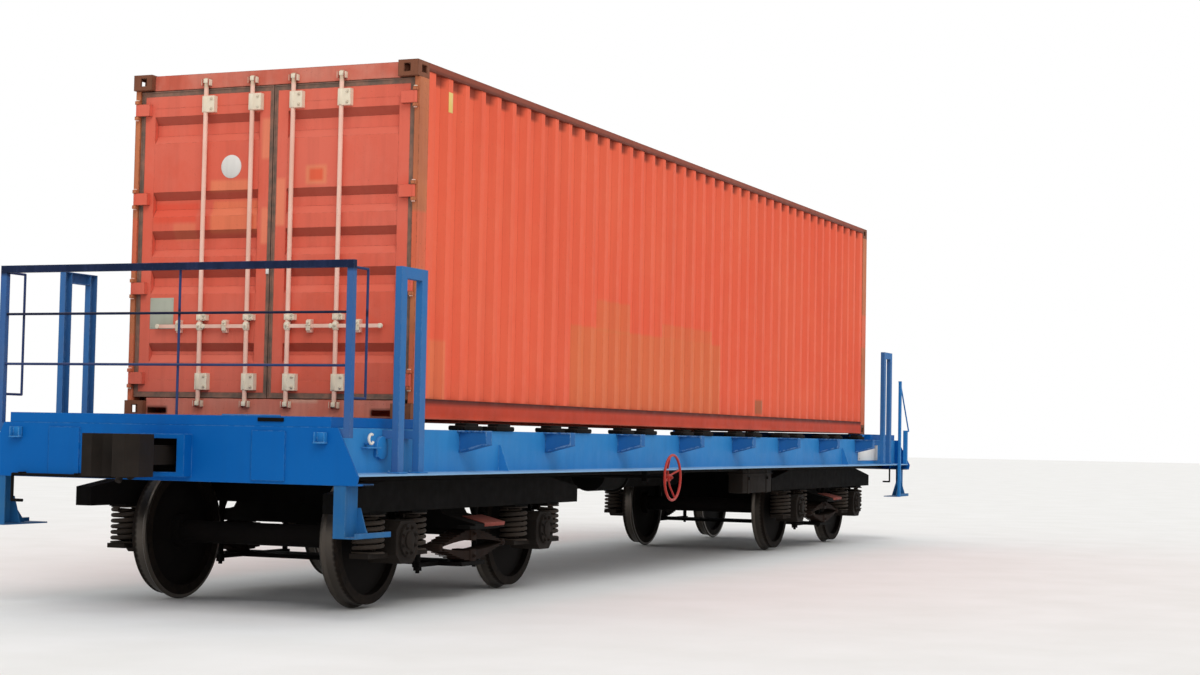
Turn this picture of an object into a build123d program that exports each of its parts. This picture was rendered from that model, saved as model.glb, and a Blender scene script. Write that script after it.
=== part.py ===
from build123d import *
import math
import os

# Four-axle container flatcar that carries a 40 ft dry freight container.
# Frame: +X along the car with the container's doors facing -X, +Z up, Z = 0 under the wheel flanges.
# Most pieces are modelled for the near side (-Y) or the front end (+X) and mirrored from there.

# Wheels, axles and track gauge
WHEEL_D = 950
FLANGE_H = 28
FLANGE_T = 33
TREAD_W = 130
RIM_H = 70
WEB_T = 26
GAUGE = 1520
AXLE_R = 82
HUB_R = 125
HUB_L = 185
COLLAR_L = 15
JOURNAL_R = 65
JOURNAL_END = 1110
RUNNING_FIT = 0.05

# Bogies
OVERHANG = 2538
WHEELBASE = 2400
BEAM_Y = 1018
BEAM_W = 130
BEAM_Z0 = 705
BEAM_Z1 = 930
BEAM_HALF = 2045
BEAM_END_H = 135
BEAM_KNEE_X = 1410
SEAT_T = 15
TRANSOM_X = 480
TRANSOM_W = 130
TRANSOM_Z0 = 710
TRANSOM_Z1 = 900
BOX_R = 165
BOX_Y0 = 905
BOX_Y1 = 1160
BOX_COVER_R = 118
BOX_COVER_T = 18
WING_T = 34
WING_DROP = 85
WING_W = 150
SPRING_X = 315
SPRING_R = 118
SPRING_WIRE = 32
SPRING_TURNS = 5
BOLSTER_HALF_X = 210
BOLSTER_END_Y = 1215
BOLSTER_TOP = 890
BOLSTER_END_TOP = 655
BOLSTER_BOTTOM = 545
BOLSTER_TIP_DROP = 70
SHELF_HALF_X = 300
SHELF_W = 115
SHELF_T = 24
BEARER_Y = 730
BEARER_HALF = 60
BEARER_TOP = 918
LEAF_HALF = 540
LEAF_W = 150
LEAF_STACK = 84
LEAF_EYE_R = 28
BAND_HALF = 50
BAND_T = 8
PLANK_TOP = 292
PLANK_T = 30
PLANK_HALF_X = 200
LINK_Y = 870
LINK_R = 22
SHOE_GAP = 6
SHOE_T = 45
SHOE_ANGLE = 17
SHOE_W = 85
BRAKE_BEAM_R = 28
HANGER_T = 24

# Pivot between body and bogie: a centre plate in a bowl, round a king pin
BOWL_R = 205
BOWL_WALL = 22
PLATE_R = 198
PLATE_Z = 912
BOWL_DEPTH = 18
SEAT_GAP = 0.3
KINGPIN_R = 30
KINGPIN_L = 110

# Car frame
FRAME_HALF = 7323
SILL_TOP = 1294
SILL_H = 319
SILL_WEB_Y = 1300
SILL_FLANGE_Y = 1480
SILL_TOP_FLANGE_Y = 1200
PLATE = 12
FLANGE_PLATE = 14
GUSSET_H = 200
GUSSET_D = 90
HEAD_TOP_Y = 1343
HEAD_WIDE_Y = 1503
HEAD_LOW_Y = 1491
HEAD_Z = 915
HEAD_DEPTH = 230
POCKET_Y = 160
POCKET_Z0 = 975
POCKET_Z1 = 1201
STRIKER_WALL = 60
STRIKER_L = 90
BUFFER_PLATE_Y = 822
BUFFER_PLATE_HALF = 128
BUFFER_PLATE_LIFT = 20
BUFFER_PLATE_H = 330
CENTER_Y = 180
CENTER_DEEP_Z = 756
CENTER_SHALLOW_Z = 950
DEEP_HALF = 2110
SHALLOW_X = 2555
BODY_BOLSTER_HALF_X = 200
BODY_BOLSTER_TIP_Z = 1010
CROSS_BEAM_H = 150
CROSS_BEAM_W = 100
CROSS_WEB = 10
DECK_Z = 1363
DECK_GAP = 34
DECK_Y = 1290
DECK_BARS = 24
DECK_BAR_T = 6
DECK_BAR_H = 40

# Outrigger brackets along each side sill
BOGIE_SPACES = 3.0878
SEAT_CLEAR = 200
OUTRIGGER_Y = 1521
OUTRIGGER_W = 92
OUTRIGGER_ROOT = 153
OUTRIGGER_TIP = 95
OUTRIGGER_PLATE = 10
ROOT_PLATE_W = 180

# Guard frames beside the container's ends, and the railing over the rear end
GUARD_IN = 678
GUARD_L = 381
GUARD_Y = 1400
GUARD_W = 80
GUARD_D = 50
GUARD_T = 6
GUARD_TOP = 2408
STAY_H = 60
STAY_Z = 1225
RAIL_IN = 33
RAIL_Y = 1400
RAIL_TOP = 2396
RAIL_ANGLE = 50
RAIL_DEPTH = 40
RAIL_FOOT = 1227
ROD_R = 9
ROD_Z = (1702, 2053)
ROD_Y = -55
LOOP_OUT = 195
LOOP_Z = (1490, 2350)

# Grab posts at the front end's steps, with a slanting handrail to a short corner post
GRAB_IN = 30
GRAB_ANGLE = 50
GRAB_T = 6
GRAB_Y = 1521
GRAB_TOP = 2055
STUB_IN = 125
STUB_TOP = 1425
HANDRAIL_BEND = 70

# Corner steps: short at the rear, long under the front end's grab posts
STEP_IN = 3
STEP_HANGER_L = 160
STEP_TREAD_L = 480
GRAB_TREAD_L = 618
STEP_Y = 1400
STEP_Z = 570
STEP_T = 10
STEP_TREAD_Y0 = 1320
STEP_TREAD_Y1 = 1490
STEP_LIP = 36
STEP_GUSSET_L = 170
STEP_GUSSET_H = 190

# Couplers
COUPLER_Z = 1088
COUPLER_OUT = 560
SHANK = 130
CLAW_BACK = 230
HEAD_H = 280
DRAFT_IN = 120
DRAFT_L = 570
DRAFT_H = 230

# Brake gear under the middle of the car
CYLINDER_X = -900
CYLINDER_Y = -520
CYLINDER_Z = 930
CYLINDER_R = 178
CYLINDER_L = 560
PUSH_ROD_L = 235
RESERVOIR_X = 1500
RESERVOIR_Y = 620
RESERVOIR_Z = 920
RESERVOIR_R = 200
RESERVOIR_L = 1200
STRAP_IN = 250
HAND_WHEEL_X = -1519
HAND_WHEEL_Z = 908
HAND_WHEEL_R = 213
HAND_RIM_R = 12
HAND_WHEEL_Y = 1500
HAND_SPOKES = 4
HAND_SPOKE_R = 9
HAND_HUB_R = 34
HAND_HUB_T = 44
SHAFT_R = 16

# Container
CONT_L = 12192
CONT_W = 2438
CONT_H = 2591
PEDESTAL_H = 64
CAST_L = 178
CAST_W = 162
CAST_H = 118
CAST_WALL = 15
SLOT_L = 124.5
SLOT_W = 63.5
SLOT_X = 101.5
SLOT_Y = 89
SHEET = 2
WAVE_PITCH = 278
WAVE_SLOPE = 68
WAVE_DEPTH = 36
ROOF_PITCH = 209
ROOF_SLOPE = 14
ROOF_DEPTH = 20
FRONT_PITCH = 250
FRONT_SLOPE = 18
FRONT_DEPTH = 45
TOP_RAIL = 60
BOTTOM_RAIL = 158
RAIL_SHEET = 5
HEADER_H = 120
END_SILL_H = 140
SIDE_INSET = 6
FLOOR_T = 28
FLOOR_RISE = 12
CROSS_MEMBERS = 20
CROSS_MEMBER_W = 45
CROSS_MEMBER_T = 4
POST_T = 8
POST_FACE = 42
POST_SET_BACK = 35
FRONT_POST_Y = 105

# Container doors
PIN_IN = 20
PIN_SIDE = 27
PIN_R = 9
KNUCKLE_R = 13
KNUCKLE_L = 90
LUG_L = 26
LEAF_IN = 50
DOOR_T = 50
GASKET_W = 40
GASKET_T = 20
DOOR_GAP = 5
MEET_GAP = 4
DOOR_MARGIN = 90
RECESS_DEPTH = 38
RECESS_SLOPE = 60
BAR_R = 17
BAR_IN = 24
BAR_Y = (176, 582)
BAR_REACH = 72
BAR_REACH_LOW = 44
BRACKET_OUT = 84
BRACKET_IN = 22
BRACKET_HALF = 62
BRACKET_FACE = 6
BRACKET_DROP = 80
GUIDE_OUT = 62
GUIDE_HALF = 22
GUIDE_RISE = 557
HANDLE_RISE = 491
HANDLE_L = 370
HANDLE_T = 8
HANDLE_H = 28
CATCH_W = 40
CATCH_H = 96
CATCH_FROM = 165
KEEPER_T = 8
KEEPER_H = 50
KEEPER_GAP = 6
HINGE_DROP = 103
HINGE_PITCH = 679
HINGES = 4

# Door recesses: top below the leaf's upper edge, height
RECESSES = [
    (155, 205),
    (731, 190),
    (1026, 200),
    (1320, 185),
    (1874, 145),
]

# Places that follow from the sizes above
BOGIE_X = FRAME_HALF - OVERHANG
OUTRIGGER_PITCH = BOGIE_X / BOGIE_SPACES
GUARD_X1 = FRAME_HALF - GUARD_IN
GUARD_X0 = GUARD_X1 - GUARD_L
RAIL_X = FRAME_HALF - RAIL_IN
STEP_X1 = FRAME_HALF - STEP_IN
STEP_X0 = STEP_X1 - STEP_HANGER_L
GRAB_X = STEP_X1 - GRAB_TREAD_L + GRAB_IN
STUB_X = FRAME_HALF - STUB_IN
COUPLER_X = FRAME_HALF + COUPLER_OUT
DRAFT_X1 = FRAME_HALF - DRAFT_IN
DRAFT_X0 = DRAFT_X1 - DRAFT_L
AXLE_Z = FLANGE_H + WHEEL_D / 2
WHEEL_BACK = GAUGE / 2 - FLANGE_T
WING_Z = AXLE_Z - WING_DROP
SILL_BOTTOM = SILL_TOP - SILL_H
WEB_IN_Y = SILL_WEB_Y - PLATE
HEAD_IN_X = FRAME_HALF - PLATE
BEAM_IN_Y = BEAM_Y - BEAM_W / 2
CENTER_TOP = SILL_TOP - FLANGE_PLATE
CONT_Z = SILL_TOP + PEDESTAL_H
CONT_TOP = CONT_Z + CONT_H
CONT_X = CONT_L / 2
CONT_Y = CONT_W / 2
DECK_IN_X = CONT_X + DECK_GAP
CAST_IN_X = CONT_X - CAST_L
CAST_IN_Y = CONT_Y - CAST_W
POST_Z0 = CONT_Z + CAST_H
POST_Z1 = CONT_TOP - CAST_H
PANEL_Z0 = CONT_Z + BOTTOM_RAIL
PANEL_Z1 = CONT_TOP - TOP_RAIL
DOOR_Z0 = CONT_Z + END_SILL_H
DOOR_Z1 = CONT_TOP - HEADER_H
LEAF_Z0 = DOOR_Z0 + DOOR_GAP + GASKET_W
LEAF_Z1 = DOOR_Z1 - DOOR_GAP - GASKET_W
LEAF_Y1 = CONT_Y - POST_FACE - DOOR_GAP - GASKET_W + 5
LEAF_Y0 = MEET_GAP + GASKET_W - 11
LEAF_X = CONT_X - LEAF_IN
PIN_X = CONT_X - PIN_IN
PIN_Y = CONT_Y - PIN_SIDE
BAR_X = CONT_X - BAR_IN
POST_X = CONT_X - POST_SET_BACK
SEAT_X = CONT_X - SLOT_X
OUTRIGGER_PAIRS = math.floor((SEAT_X - SEAT_CLEAR) / OUTRIGGER_PITCH + 0.5)
OUTRIGGERS = [
    side * OUTRIGGER_PITCH * (n + 0.5) for side in (-1, 1) for n in range(OUTRIGGER_PAIRS)
]


def block(x, y, z):
    """A box between two corners, given as its ranges along X, Y and Z."""
    size = [abs(b - a) for a, b in (x, y, z)]
    middle = [(a + b) / 2 for a, b in (x, y, z)]
    return Pos(*middle) * Box(*size)


def prism(points, low, high, along):
    """An outline drawn across one axis and pushed along that axis from low to high."""
    if along == "X":
        path = [(low, a, b) for a, b in points]
        way = (1, 0, 0)
    elif along == "Y":
        path = [(a, low, b) for a, b in points]
        way = (0, 1, 0)
    else:
        path = [(a, b, low) for a, b in points]
        way = (0, 0, 1)
    face = make_face(Polyline(*path, close=True))
    return extrude(face, amount=high - low, dir=way)


def rod(start, end, radius):
    """A round bar from start to end."""
    line = Vector(*end) - Vector(*start)
    base = Plane(origin=start, z_dir=line)
    upright = (Align.CENTER, Align.CENTER, Align.MIN)
    return base * Cylinder(radius, line.length, align=upright)


def turned(profile, x, z):
    """A solid of revolution about the line along Y at (x, z), from (radius, y) pairs."""
    face = make_face(Polyline(*[(x + radius, y, z) for radius, y in profile], close=True))
    return revolve(face, axis=Axis((x, 0, z), (0, 1, 0)))


def flip_x(shape):
    return mirror(shape, about=Plane.YZ)


def flip_y(shape):
    return mirror(shape, about=Plane.XZ)


def both_ends(shapes):
    return [*shapes, *[flip_x(shape) for shape in shapes]]


def both_sides(shapes):
    return [*shapes, *[flip_y(shape) for shape in shapes]]


def join(shapes):
    """One solid from shapes that overlap or share faces."""
    first, *rest = shapes
    return first.fuse(*rest) if rest else first


def save(name, shapes):
    """Write one sub-part to a STEP file of its own."""
    solids = []
    for shape in shapes:
        solids.extend(shape.solids())
    export_step(Compound(children=solids), f"parts/{name}.step")


# Bogies


def wheelset(x):
    """Two wheels pressed on one axle, turned as one body."""
    tread = WHEEL_D / 2
    front = WHEEL_BACK + TREAD_W
    hub_in = WHEEL_BACK + (TREAD_W - HUB_L) / 2
    hub_out = hub_in + HUB_L
    web = WHEEL_BACK + TREAD_W / 2
    half = [
        (0, 0),
        (AXLE_R, 0),
        (AXLE_R, hub_in),
        (HUB_R, hub_in),
        (HUB_R, web - WEB_T),
        (tread - RIM_H, web - WEB_T / 2),
        (tread - RIM_H, WHEEL_BACK),
        (tread + FLANGE_H - 10, WHEEL_BACK),
        (tread + FLANGE_H, WHEEL_BACK + 12),
        (tread + FLANGE_H - 7, WHEEL_BACK + 23),
        (tread + 2, WHEEL_BACK + FLANGE_T + 4),
        (tread - 4, front),
        (tread - RIM_H, front),
        (tread - RIM_H, web + WEB_T / 2),
        (HUB_R, web + WEB_T),
        (HUB_R, hub_out),
        (AXLE_R, hub_out),
        (JOURNAL_R, hub_out + COLLAR_L),
        (JOURNAL_R, JOURNAL_END),
        (0, JOURNAL_END),
    ]
    one = turned(half, x, AXLE_Z)
    return join([one, flip_y(one)])


def axle_box(x):
    """Near side housing round the journal, with wings under the coil springs."""
    outline = [
        (x - BOX_R, AXLE_Z - 95),
        (x - 0.55 * BOX_R, AXLE_Z - BOX_R),
        (x + 0.55 * BOX_R, AXLE_Z - BOX_R),
        (x + BOX_R, AXLE_Z - 95),
        (x + BOX_R, AXLE_Z + 75),
        (x + 0.6 * BOX_R, AXLE_Z + 140),
        (x - 0.6 * BOX_R, AXLE_Z + 140),
        (x - BOX_R, AXLE_Z + 75),
    ]
    housing = prism(outline, -BOX_Y1, -BOX_Y0, "Y")
    reach = SPRING_X + SPRING_R + 12
    wing_y = (-BEAM_Y - WING_W / 2, -BEAM_Y + WING_W / 2)
    wing = block((x - reach, x + reach), wing_y, (WING_Z - WING_T, WING_Z))
    cover_end = -BOX_Y1 - BOX_COVER_T
    cover = rod((x, -BOX_Y1, AXLE_Z), (x, cover_end, AXLE_Z), BOX_COVER_R)
    bore = rod((x, -BOX_Y0, AXLE_Z), (x, -JOURNAL_END - 6, AXLE_Z), JOURNAL_R + RUNNING_FIT)
    return join([housing, wing, cover]) - bore


def coil_spring(x, y):
    """A coil spring, its turns drawn as bulges of one turned body that is seated at both ends."""
    low = WING_Z
    high = BEAM_Z0 - SEAT_T
    pitch = (high - low) / SPRING_TURNS
    outline = [(x, low)]
    for turn in range(SPRING_TURNS):
        base = low + turn * pitch
        outline.append((x + SPRING_R - SPRING_WIRE, base))
        outline.append((x + SPRING_R, base + 0.3 * pitch))
        outline.append((x + SPRING_R, base + 0.7 * pitch))
    outline.append((x + SPRING_R - SPRING_WIRE, high))
    outline.append((x, high))
    face = make_face(Polyline(*[(a, y, z) for a, z in outline], close=True))
    return revolve(face, axis=Axis((x, y, 0), (0, 0, 1)))


def spring_places(cx):
    """Where a bogie's near side coil springs stand along X."""
    axles = (-WHEELBASE / 2, WHEELBASE / 2)
    return [cx + axle + side for axle in axles for side in (-SPRING_X, SPRING_X)]


def bogie_frame(cx):
    """An H of two side beams and two transoms, with a cap over each spring."""
    outline = [
        (cx - BEAM_HALF, BEAM_Z0),
        (cx + BEAM_HALF, BEAM_Z0),
        (cx + BEAM_HALF, BEAM_Z0 + BEAM_END_H),
        (cx + BEAM_KNEE_X, BEAM_Z1),
        (cx - BEAM_KNEE_X, BEAM_Z1),
        (cx - BEAM_HALF, BEAM_Z0 + BEAM_END_H),
    ]
    beam = prism(outline, -BEAM_Y - BEAM_W / 2, -BEAM_Y + BEAM_W / 2, "Y")
    cap_y = (-BEAM_Y - WING_W / 2, -BEAM_Y + WING_W / 2)
    cap_z = (BEAM_Z0 - SEAT_T, BEAM_Z0)
    caps = [block((x - SPRING_R, x + SPRING_R), cap_y, cap_z) for x in spring_places(cx)]
    sides = both_sides([beam, *caps])
    transoms = []
    for side in (-TRANSOM_X, TRANSOM_X):
        x = (cx + side - TRANSOM_W / 2, cx + side + TRANSOM_W / 2)
        transoms.append(block(x, (-BEAM_IN_Y, BEAM_IN_Y), (TRANSOM_Z0, TRANSOM_Z1)))
    return join([*sides, *transoms])


def bogie_bolster(cx):
    """Sprung cross beam: deep in the middle, its ends reach out under the side beams."""
    shoulder = BEAM_IN_Y - 20
    near_half = [
        (0, BOLSTER_BOTTOM),
        (-BOLSTER_END_Y, BOLSTER_BOTTOM),
        (-BOLSTER_END_Y, BOLSTER_END_TOP - BOLSTER_TIP_DROP),
        (-shoulder, BOLSTER_END_TOP),
        (-shoulder + 133, BOLSTER_TOP),
        (0, BOLSTER_TOP),
    ]
    half = prism(near_half, cx - BOLSTER_HALF_X, cx + BOLSTER_HALF_X, "X")
    shelf_y = (-BOLSTER_END_Y, -BOLSTER_END_Y + SHELF_W)
    shelf_z = (BOLSTER_BOTTOM + 6, BOLSTER_BOTTOM + 6 + SHELF_T)
    shelf = block((cx - SHELF_HALF_X, cx + SHELF_HALF_X), shelf_y, shelf_z)
    bearer_y = (-BEARER_Y - BEARER_HALF, -BEARER_Y + BEARER_HALF)
    bearer = block((cx - 90, cx + 90), bearer_y, (BOLSTER_TOP, BEARER_TOP))
    bowl = rod((cx, 0, BOLSTER_TOP), (cx, 0, PLATE_Z + BOWL_DEPTH), BOWL_R + BOWL_WALL)
    seat = rod((cx, 0, PLATE_Z), (cx, 0, PLATE_Z + BOWL_DEPTH), BOWL_R)
    pin_hole = rod((cx, 0, PLATE_Z - KINGPIN_L - 5), (cx, 0, PLATE_Z), KINGPIN_R + RUNNING_FIT)
    return join([*both_sides([half, shelf, bearer]), bowl]) - seat - pin_hole


def leaf_spring(cx):
    """Near side elliptic spring: two bows of leaves, eye to eye, banded in the middle."""
    middle = (PLANK_TOP + BOLSTER_BOTTOM) / 2
    eye = 0.7 * LEAF_EYE_R
    bows = []
    for up, seat in ((1, BOLSTER_BOTTOM), (-1, PLANK_TOP)):
        left = (cx - LEAF_HALF, -BEAM_Y, middle + up * eye)
        right = (cx + LEAF_HALF, -BEAM_Y, middle + up * eye)
        left_in = (cx - LEAF_HALF, -BEAM_Y, middle)
        right_in = (cx + LEAF_HALF, -BEAM_Y, middle)
        crown = (cx, -BEAM_Y, seat - up * BAND_T)
        belly = (cx, -BEAM_Y, seat - up * LEAF_STACK)
        outline = [
            ThreePointArc(left, crown, right),
            Line(right, right_in),
            ThreePointArc(right_in, belly, left_in),
            Line(left_in, left),
        ]
        bows.append(extrude(make_face(outline), amount=LEAF_W / 2, dir=(0, 1, 0), both=True))
        band_y = (-BEAM_Y - LEAF_W / 2 - BAND_T, -BEAM_Y + LEAF_W / 2 + BAND_T)
        band_z = sorted((seat, seat - up * (LEAF_STACK + BAND_T)))
        bows.append(block((cx - BAND_HALF, cx + BAND_HALF), band_y, band_z))
    for end in (-LEAF_HALF, LEAF_HALF):
        start = (cx + end, -BEAM_Y - LEAF_W / 2, middle)
        bows.append(rod(start, (cx + end, -BEAM_Y + LEAF_W / 2, middle), LEAF_EYE_R))
    return join(bows)


def spring_plank(cx):
    """Plank under the leaf springs, hung from the transoms by four links."""
    z = (PLANK_TOP - PLANK_T, PLANK_TOP)
    reach = BEAM_Y + LEAF_W / 2 + BAND_T
    pieces = [block((cx - PLANK_HALF_X, cx + PLANK_HALF_X), (-reach, reach), z)]
    for y in (-LINK_Y, LINK_Y):
        pieces.append(block((cx - TRANSOM_X - 30, cx + TRANSOM_X + 30), (y - 30, y + 30), z))
        for x in (cx - TRANSOM_X, cx + TRANSOM_X):
            pieces.append(rod((x, y, PLANK_TOP - PLANK_T), (x, y, TRANSOM_Z0), LINK_R))
    return join(pieces)


def brake_rigging(cx):
    """Brake beams hung from the transoms, with a shoe against each wheel's inner side."""
    inner = WHEEL_D / 2 + SHOE_GAP
    outer = inner + SHOE_T
    shoe_y = WHEEL_BACK + FLANGE_T + 10
    rigs = []
    for side in (-1, 1):
        axle = (cx + side * WHEELBASE / 2, 0, AXLE_Z)
        beam_x = axle[0] - side * (outer + BRAKE_BEAM_R - 4)
        shoes = []
        for half in (-1, 1):
            low_y = half * shoe_y if half > 0 else -shoe_y - SHOE_W
            ring = rod((axle[0], low_y, AXLE_Z), (axle[0], low_y + SHOE_W, AXLE_Z), outer)
            tread = rod((axle[0], low_y, AXLE_Z), (axle[0], low_y + SHOE_W, AXLE_Z), inner)
            rise = outer * math.sin(math.radians(SHOE_ANGLE))
            run = outer * 1.05
            wedge = [(axle[0], AXLE_Z), (axle[0] - side * run, AXLE_Z + rise), (axle[0] - side * run, AXLE_Z - rise)]
            shoes.append((ring - tread) & prism(wedge, low_y, low_y + SHOE_W, "Y"))
            hang_y = low_y + (SHOE_W - HANGER_T) / 2
            top_x = cx + side * (TRANSOM_X + TRANSOM_W / 2)
            hanger = [
                (beam_x - side * 14, AXLE_Z),
                (beam_x + side * 14, AXLE_Z),
                (top_x, TRANSOM_Z0),
                (top_x - side * 40, TRANSOM_Z0),
            ]
            shoes.append(prism(hanger, hang_y, hang_y + HANGER_T, "Y"))
        reach = shoe_y + SHOE_W
        beam = rod((beam_x, -reach, AXLE_Z), (beam_x, reach, AXLE_Z), BRAKE_BEAM_R)
        rigs.append(join([beam, *shoes]))
    return rigs


def make_bogie(tag, cx):
    axles = {"a": cx - WHEELBASE / 2, "b": cx + WHEELBASE / 2}
    for axle_tag, x in axles.items():
        save(f"wheelset_{tag}_{axle_tag}", [wheelset(x)])
    save(f"axle_boxes_{tag}", both_sides([axle_box(x) for x in axles.values()]))
    save(f"coil_springs_{tag}", both_sides([coil_spring(x, -BEAM_Y) for x in spring_places(cx)]))
    save(f"bogie_frame_{tag}", [bogie_frame(cx)])
    save(f"bogie_bolster_{tag}", [bogie_bolster(cx)])
    save(f"leaf_springs_{tag}", both_sides([leaf_spring(cx)]))
    save(f"spring_plank_{tag}", [spring_plank(cx)])
    save(f"brake_rigging_{tag}", brake_rigging(cx))


# Car frame


def side_sill():
    """Near side sill: web, wide foot flange, narrow top flange and a gusset over each bogie."""
    ends = (-HEAD_IN_X, HEAD_IN_X)
    web = block(ends, (-SILL_WEB_Y, -WEB_IN_Y), (SILL_BOTTOM, SILL_TOP))
    foot = block(ends, (-SILL_FLANGE_Y, -WEB_IN_Y), (SILL_BOTTOM, SILL_BOTTOM + FLANGE_PLATE))
    top = block(ends, (-SILL_WEB_Y, -SILL_TOP_FLANGE_Y), (CENTER_TOP, SILL_TOP))
    foot_top = SILL_BOTTOM + FLANGE_PLATE
    rib = [
        (-SILL_WEB_Y, foot_top),
        (-SILL_WEB_Y - GUSSET_D, foot_top),
        (-SILL_WEB_Y - 15, foot_top + GUSSET_H),
        (-SILL_WEB_Y, foot_top + GUSSET_H),
    ]
    ribs = [prism(rib, x - PLATE / 2, x + PLATE / 2, "X") for x in (-BOGIE_X, BOGIE_X)]
    return join([web, foot, top, *ribs])


def center_sill():
    """Fish-bellied box girder along the middle, open at both ends for the draft gear."""
    half = [
        (0, CENTER_DEEP_Z),
        (DEEP_HALF, CENTER_DEEP_Z),
        (SHALLOW_X, CENTER_SHALLOW_Z),
        (HEAD_IN_X, CENTER_SHALLOW_Z),
        (HEAD_IN_X, CENTER_TOP),
        (0, CENTER_TOP),
    ]
    hole = [
        (0, CENTER_DEEP_Z + FLANGE_PLATE),
        (DEEP_HALF - 4, CENTER_DEEP_Z + FLANGE_PLATE),
        (SHALLOW_X - 4, CENTER_SHALLOW_Z + FLANGE_PLATE),
        (HEAD_IN_X, CENTER_SHALLOW_Z + FLANGE_PLATE),
        (HEAD_IN_X, CENTER_TOP - PLATE),
        (0, CENTER_TOP - PLATE),
    ]
    inner = CENTER_Y - PLATE
    body = join(both_ends([prism(half, -CENTER_Y, CENTER_Y, "Y")]))
    return body - join(both_ends([prism(hole, -inner, inner, "Y")]))


def end_beam():
    """Front headstock: face plate that widens downwards, foot flange and coupler opening."""
    face = [
        (-HEAD_TOP_Y, SILL_TOP),
        (-HEAD_WIDE_Y, SILL_BOTTOM),
        (-HEAD_LOW_Y, HEAD_Z),
        (HEAD_LOW_Y, HEAD_Z),
        (HEAD_WIDE_Y, SILL_BOTTOM),
        (HEAD_TOP_Y, SILL_TOP),
    ]
    plate = prism(face, HEAD_IN_X, FRAME_HALF, "X")
    foot = block((FRAME_HALF - HEAD_DEPTH, HEAD_IN_X), (-HEAD_LOW_Y, HEAD_LOW_Y), (HEAD_Z, HEAD_Z + PLATE))
    rib_z = (HEAD_Z + PLATE, SILL_BOTTOM)
    ribs = []
    for y in (-SILL_WEB_Y + PLATE / 2, SILL_WEB_Y - PLATE / 2):
        ribs.append(block((FRAME_HALF - HEAD_DEPTH, HEAD_IN_X), (y - PLATE / 2, y + PLATE / 2), rib_z))
    ring_y = POCKET_Y + STRIKER_WALL
    ring = block(
        (FRAME_HALF, FRAME_HALF + STRIKER_L),
        (-ring_y, ring_y),
        (POCKET_Z0 - STRIKER_WALL / 2, POCKET_Z1 + STRIKER_WALL / 2),
    )
    pads = []
    pad_z = HEAD_Z + BUFFER_PLATE_LIFT
    for y in (-BUFFER_PLATE_Y, BUFFER_PLATE_Y):
        pad_y = (y - BUFFER_PLATE_HALF, y + BUFFER_PLATE_HALF)
        pads.append(block((FRAME_HALF, FRAME_HALF + PLATE), pad_y, (pad_z, pad_z + BUFFER_PLATE_H)))
    opening = block(
        (HEAD_IN_X - 1, FRAME_HALF + STRIKER_L + 1), (-POCKET_Y, POCKET_Y), (POCKET_Z0, POCKET_Z1)
    )
    return join([plate, foot, *ribs, ring, *pads]) - opening


def body_bolster():
    """Near half of the body's cross girder over a bogie, with its side bearer."""
    outline = [
        (-CENTER_Y, CENTER_SHALLOW_Z),
        (-BEARER_Y - BEARER_HALF, CENTER_SHALLOW_Z),
        (-WEB_IN_Y, BODY_BOLSTER_TIP_Z),
        (-WEB_IN_Y, CENTER_TOP),
        (-CENTER_Y, CENTER_TOP),
    ]
    x = (BOGIE_X - BODY_BOLSTER_HALF_X, BOGIE_X + BODY_BOLSTER_HALF_X)
    girder = prism(outline, x[0], x[1], "X")
    bearer_y = (-BEARER_Y - BEARER_HALF + 10, -BEARER_Y + BEARER_HALF)
    bearer = block((BOGIE_X - 80, BOGIE_X + 80), bearer_y, (BEARER_TOP + 6, CENTER_SHALLOW_Z))
    return join([girder, bearer])


def center_plate():
    """Body centre plate and king pin over the front bogie."""
    low = PLATE_Z + SEAT_GAP
    plate = rod((BOGIE_X, 0, low), (BOGIE_X, 0, CENTER_SHALLOW_Z), PLATE_R)
    pin = rod((BOGIE_X, 0, low - KINGPIN_L), (BOGIE_X, 0, low), KINGPIN_R)
    return join([plate, pin])


def cross_beam(x):
    """Near half of an I-section cross beam between centre sill and side sill."""
    y = (-WEB_IN_Y, -CENTER_Y)
    low = CENTER_TOP - CROSS_BEAM_H
    pieces = [
        block((x - CROSS_BEAM_W / 2, x + CROSS_BEAM_W / 2), y, (low, low + PLATE)),
        block((x - CROSS_WEB / 2, x + CROSS_WEB / 2), y, (low + PLATE, CENTER_TOP - PLATE)),
        block((x - CROSS_BEAM_W / 2, x + CROSS_BEAM_W / 2), y, (CENTER_TOP - PLATE, CENTER_TOP)),
    ]
    return join(pieces)


def end_platform():
    """Front end deck: a frame of flat bars filled with grating bars that run across."""
    z = (SILL_TOP, DECK_Z)
    pieces = [
        block((FRAME_HALF - 10, FRAME_HALF), (-DECK_Y, DECK_Y), z),
        block((DECK_IN_X, DECK_IN_X + 10), (-DECK_Y, DECK_Y), z),
        block((DECK_IN_X + 10, FRAME_HALF - 10), (-DECK_Y, -DECK_Y + 10), z),
        block((DECK_IN_X + 10, FRAME_HALF - 10), (DECK_Y - 10, DECK_Y), z),
    ]
    length = FRAME_HALF - DECK_IN_X - 20
    for n in range(DECK_BARS):
        x = DECK_IN_X + 10 + length * (n + 0.5) / DECK_BARS
        bar_x = (x - DECK_BAR_T / 2, x + DECK_BAR_T / 2)
        pieces.append(block(bar_x, (-DECK_Y + 10, DECK_Y - 10), (DECK_Z - DECK_BAR_H, DECK_Z)))
    return join(pieces)


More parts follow.
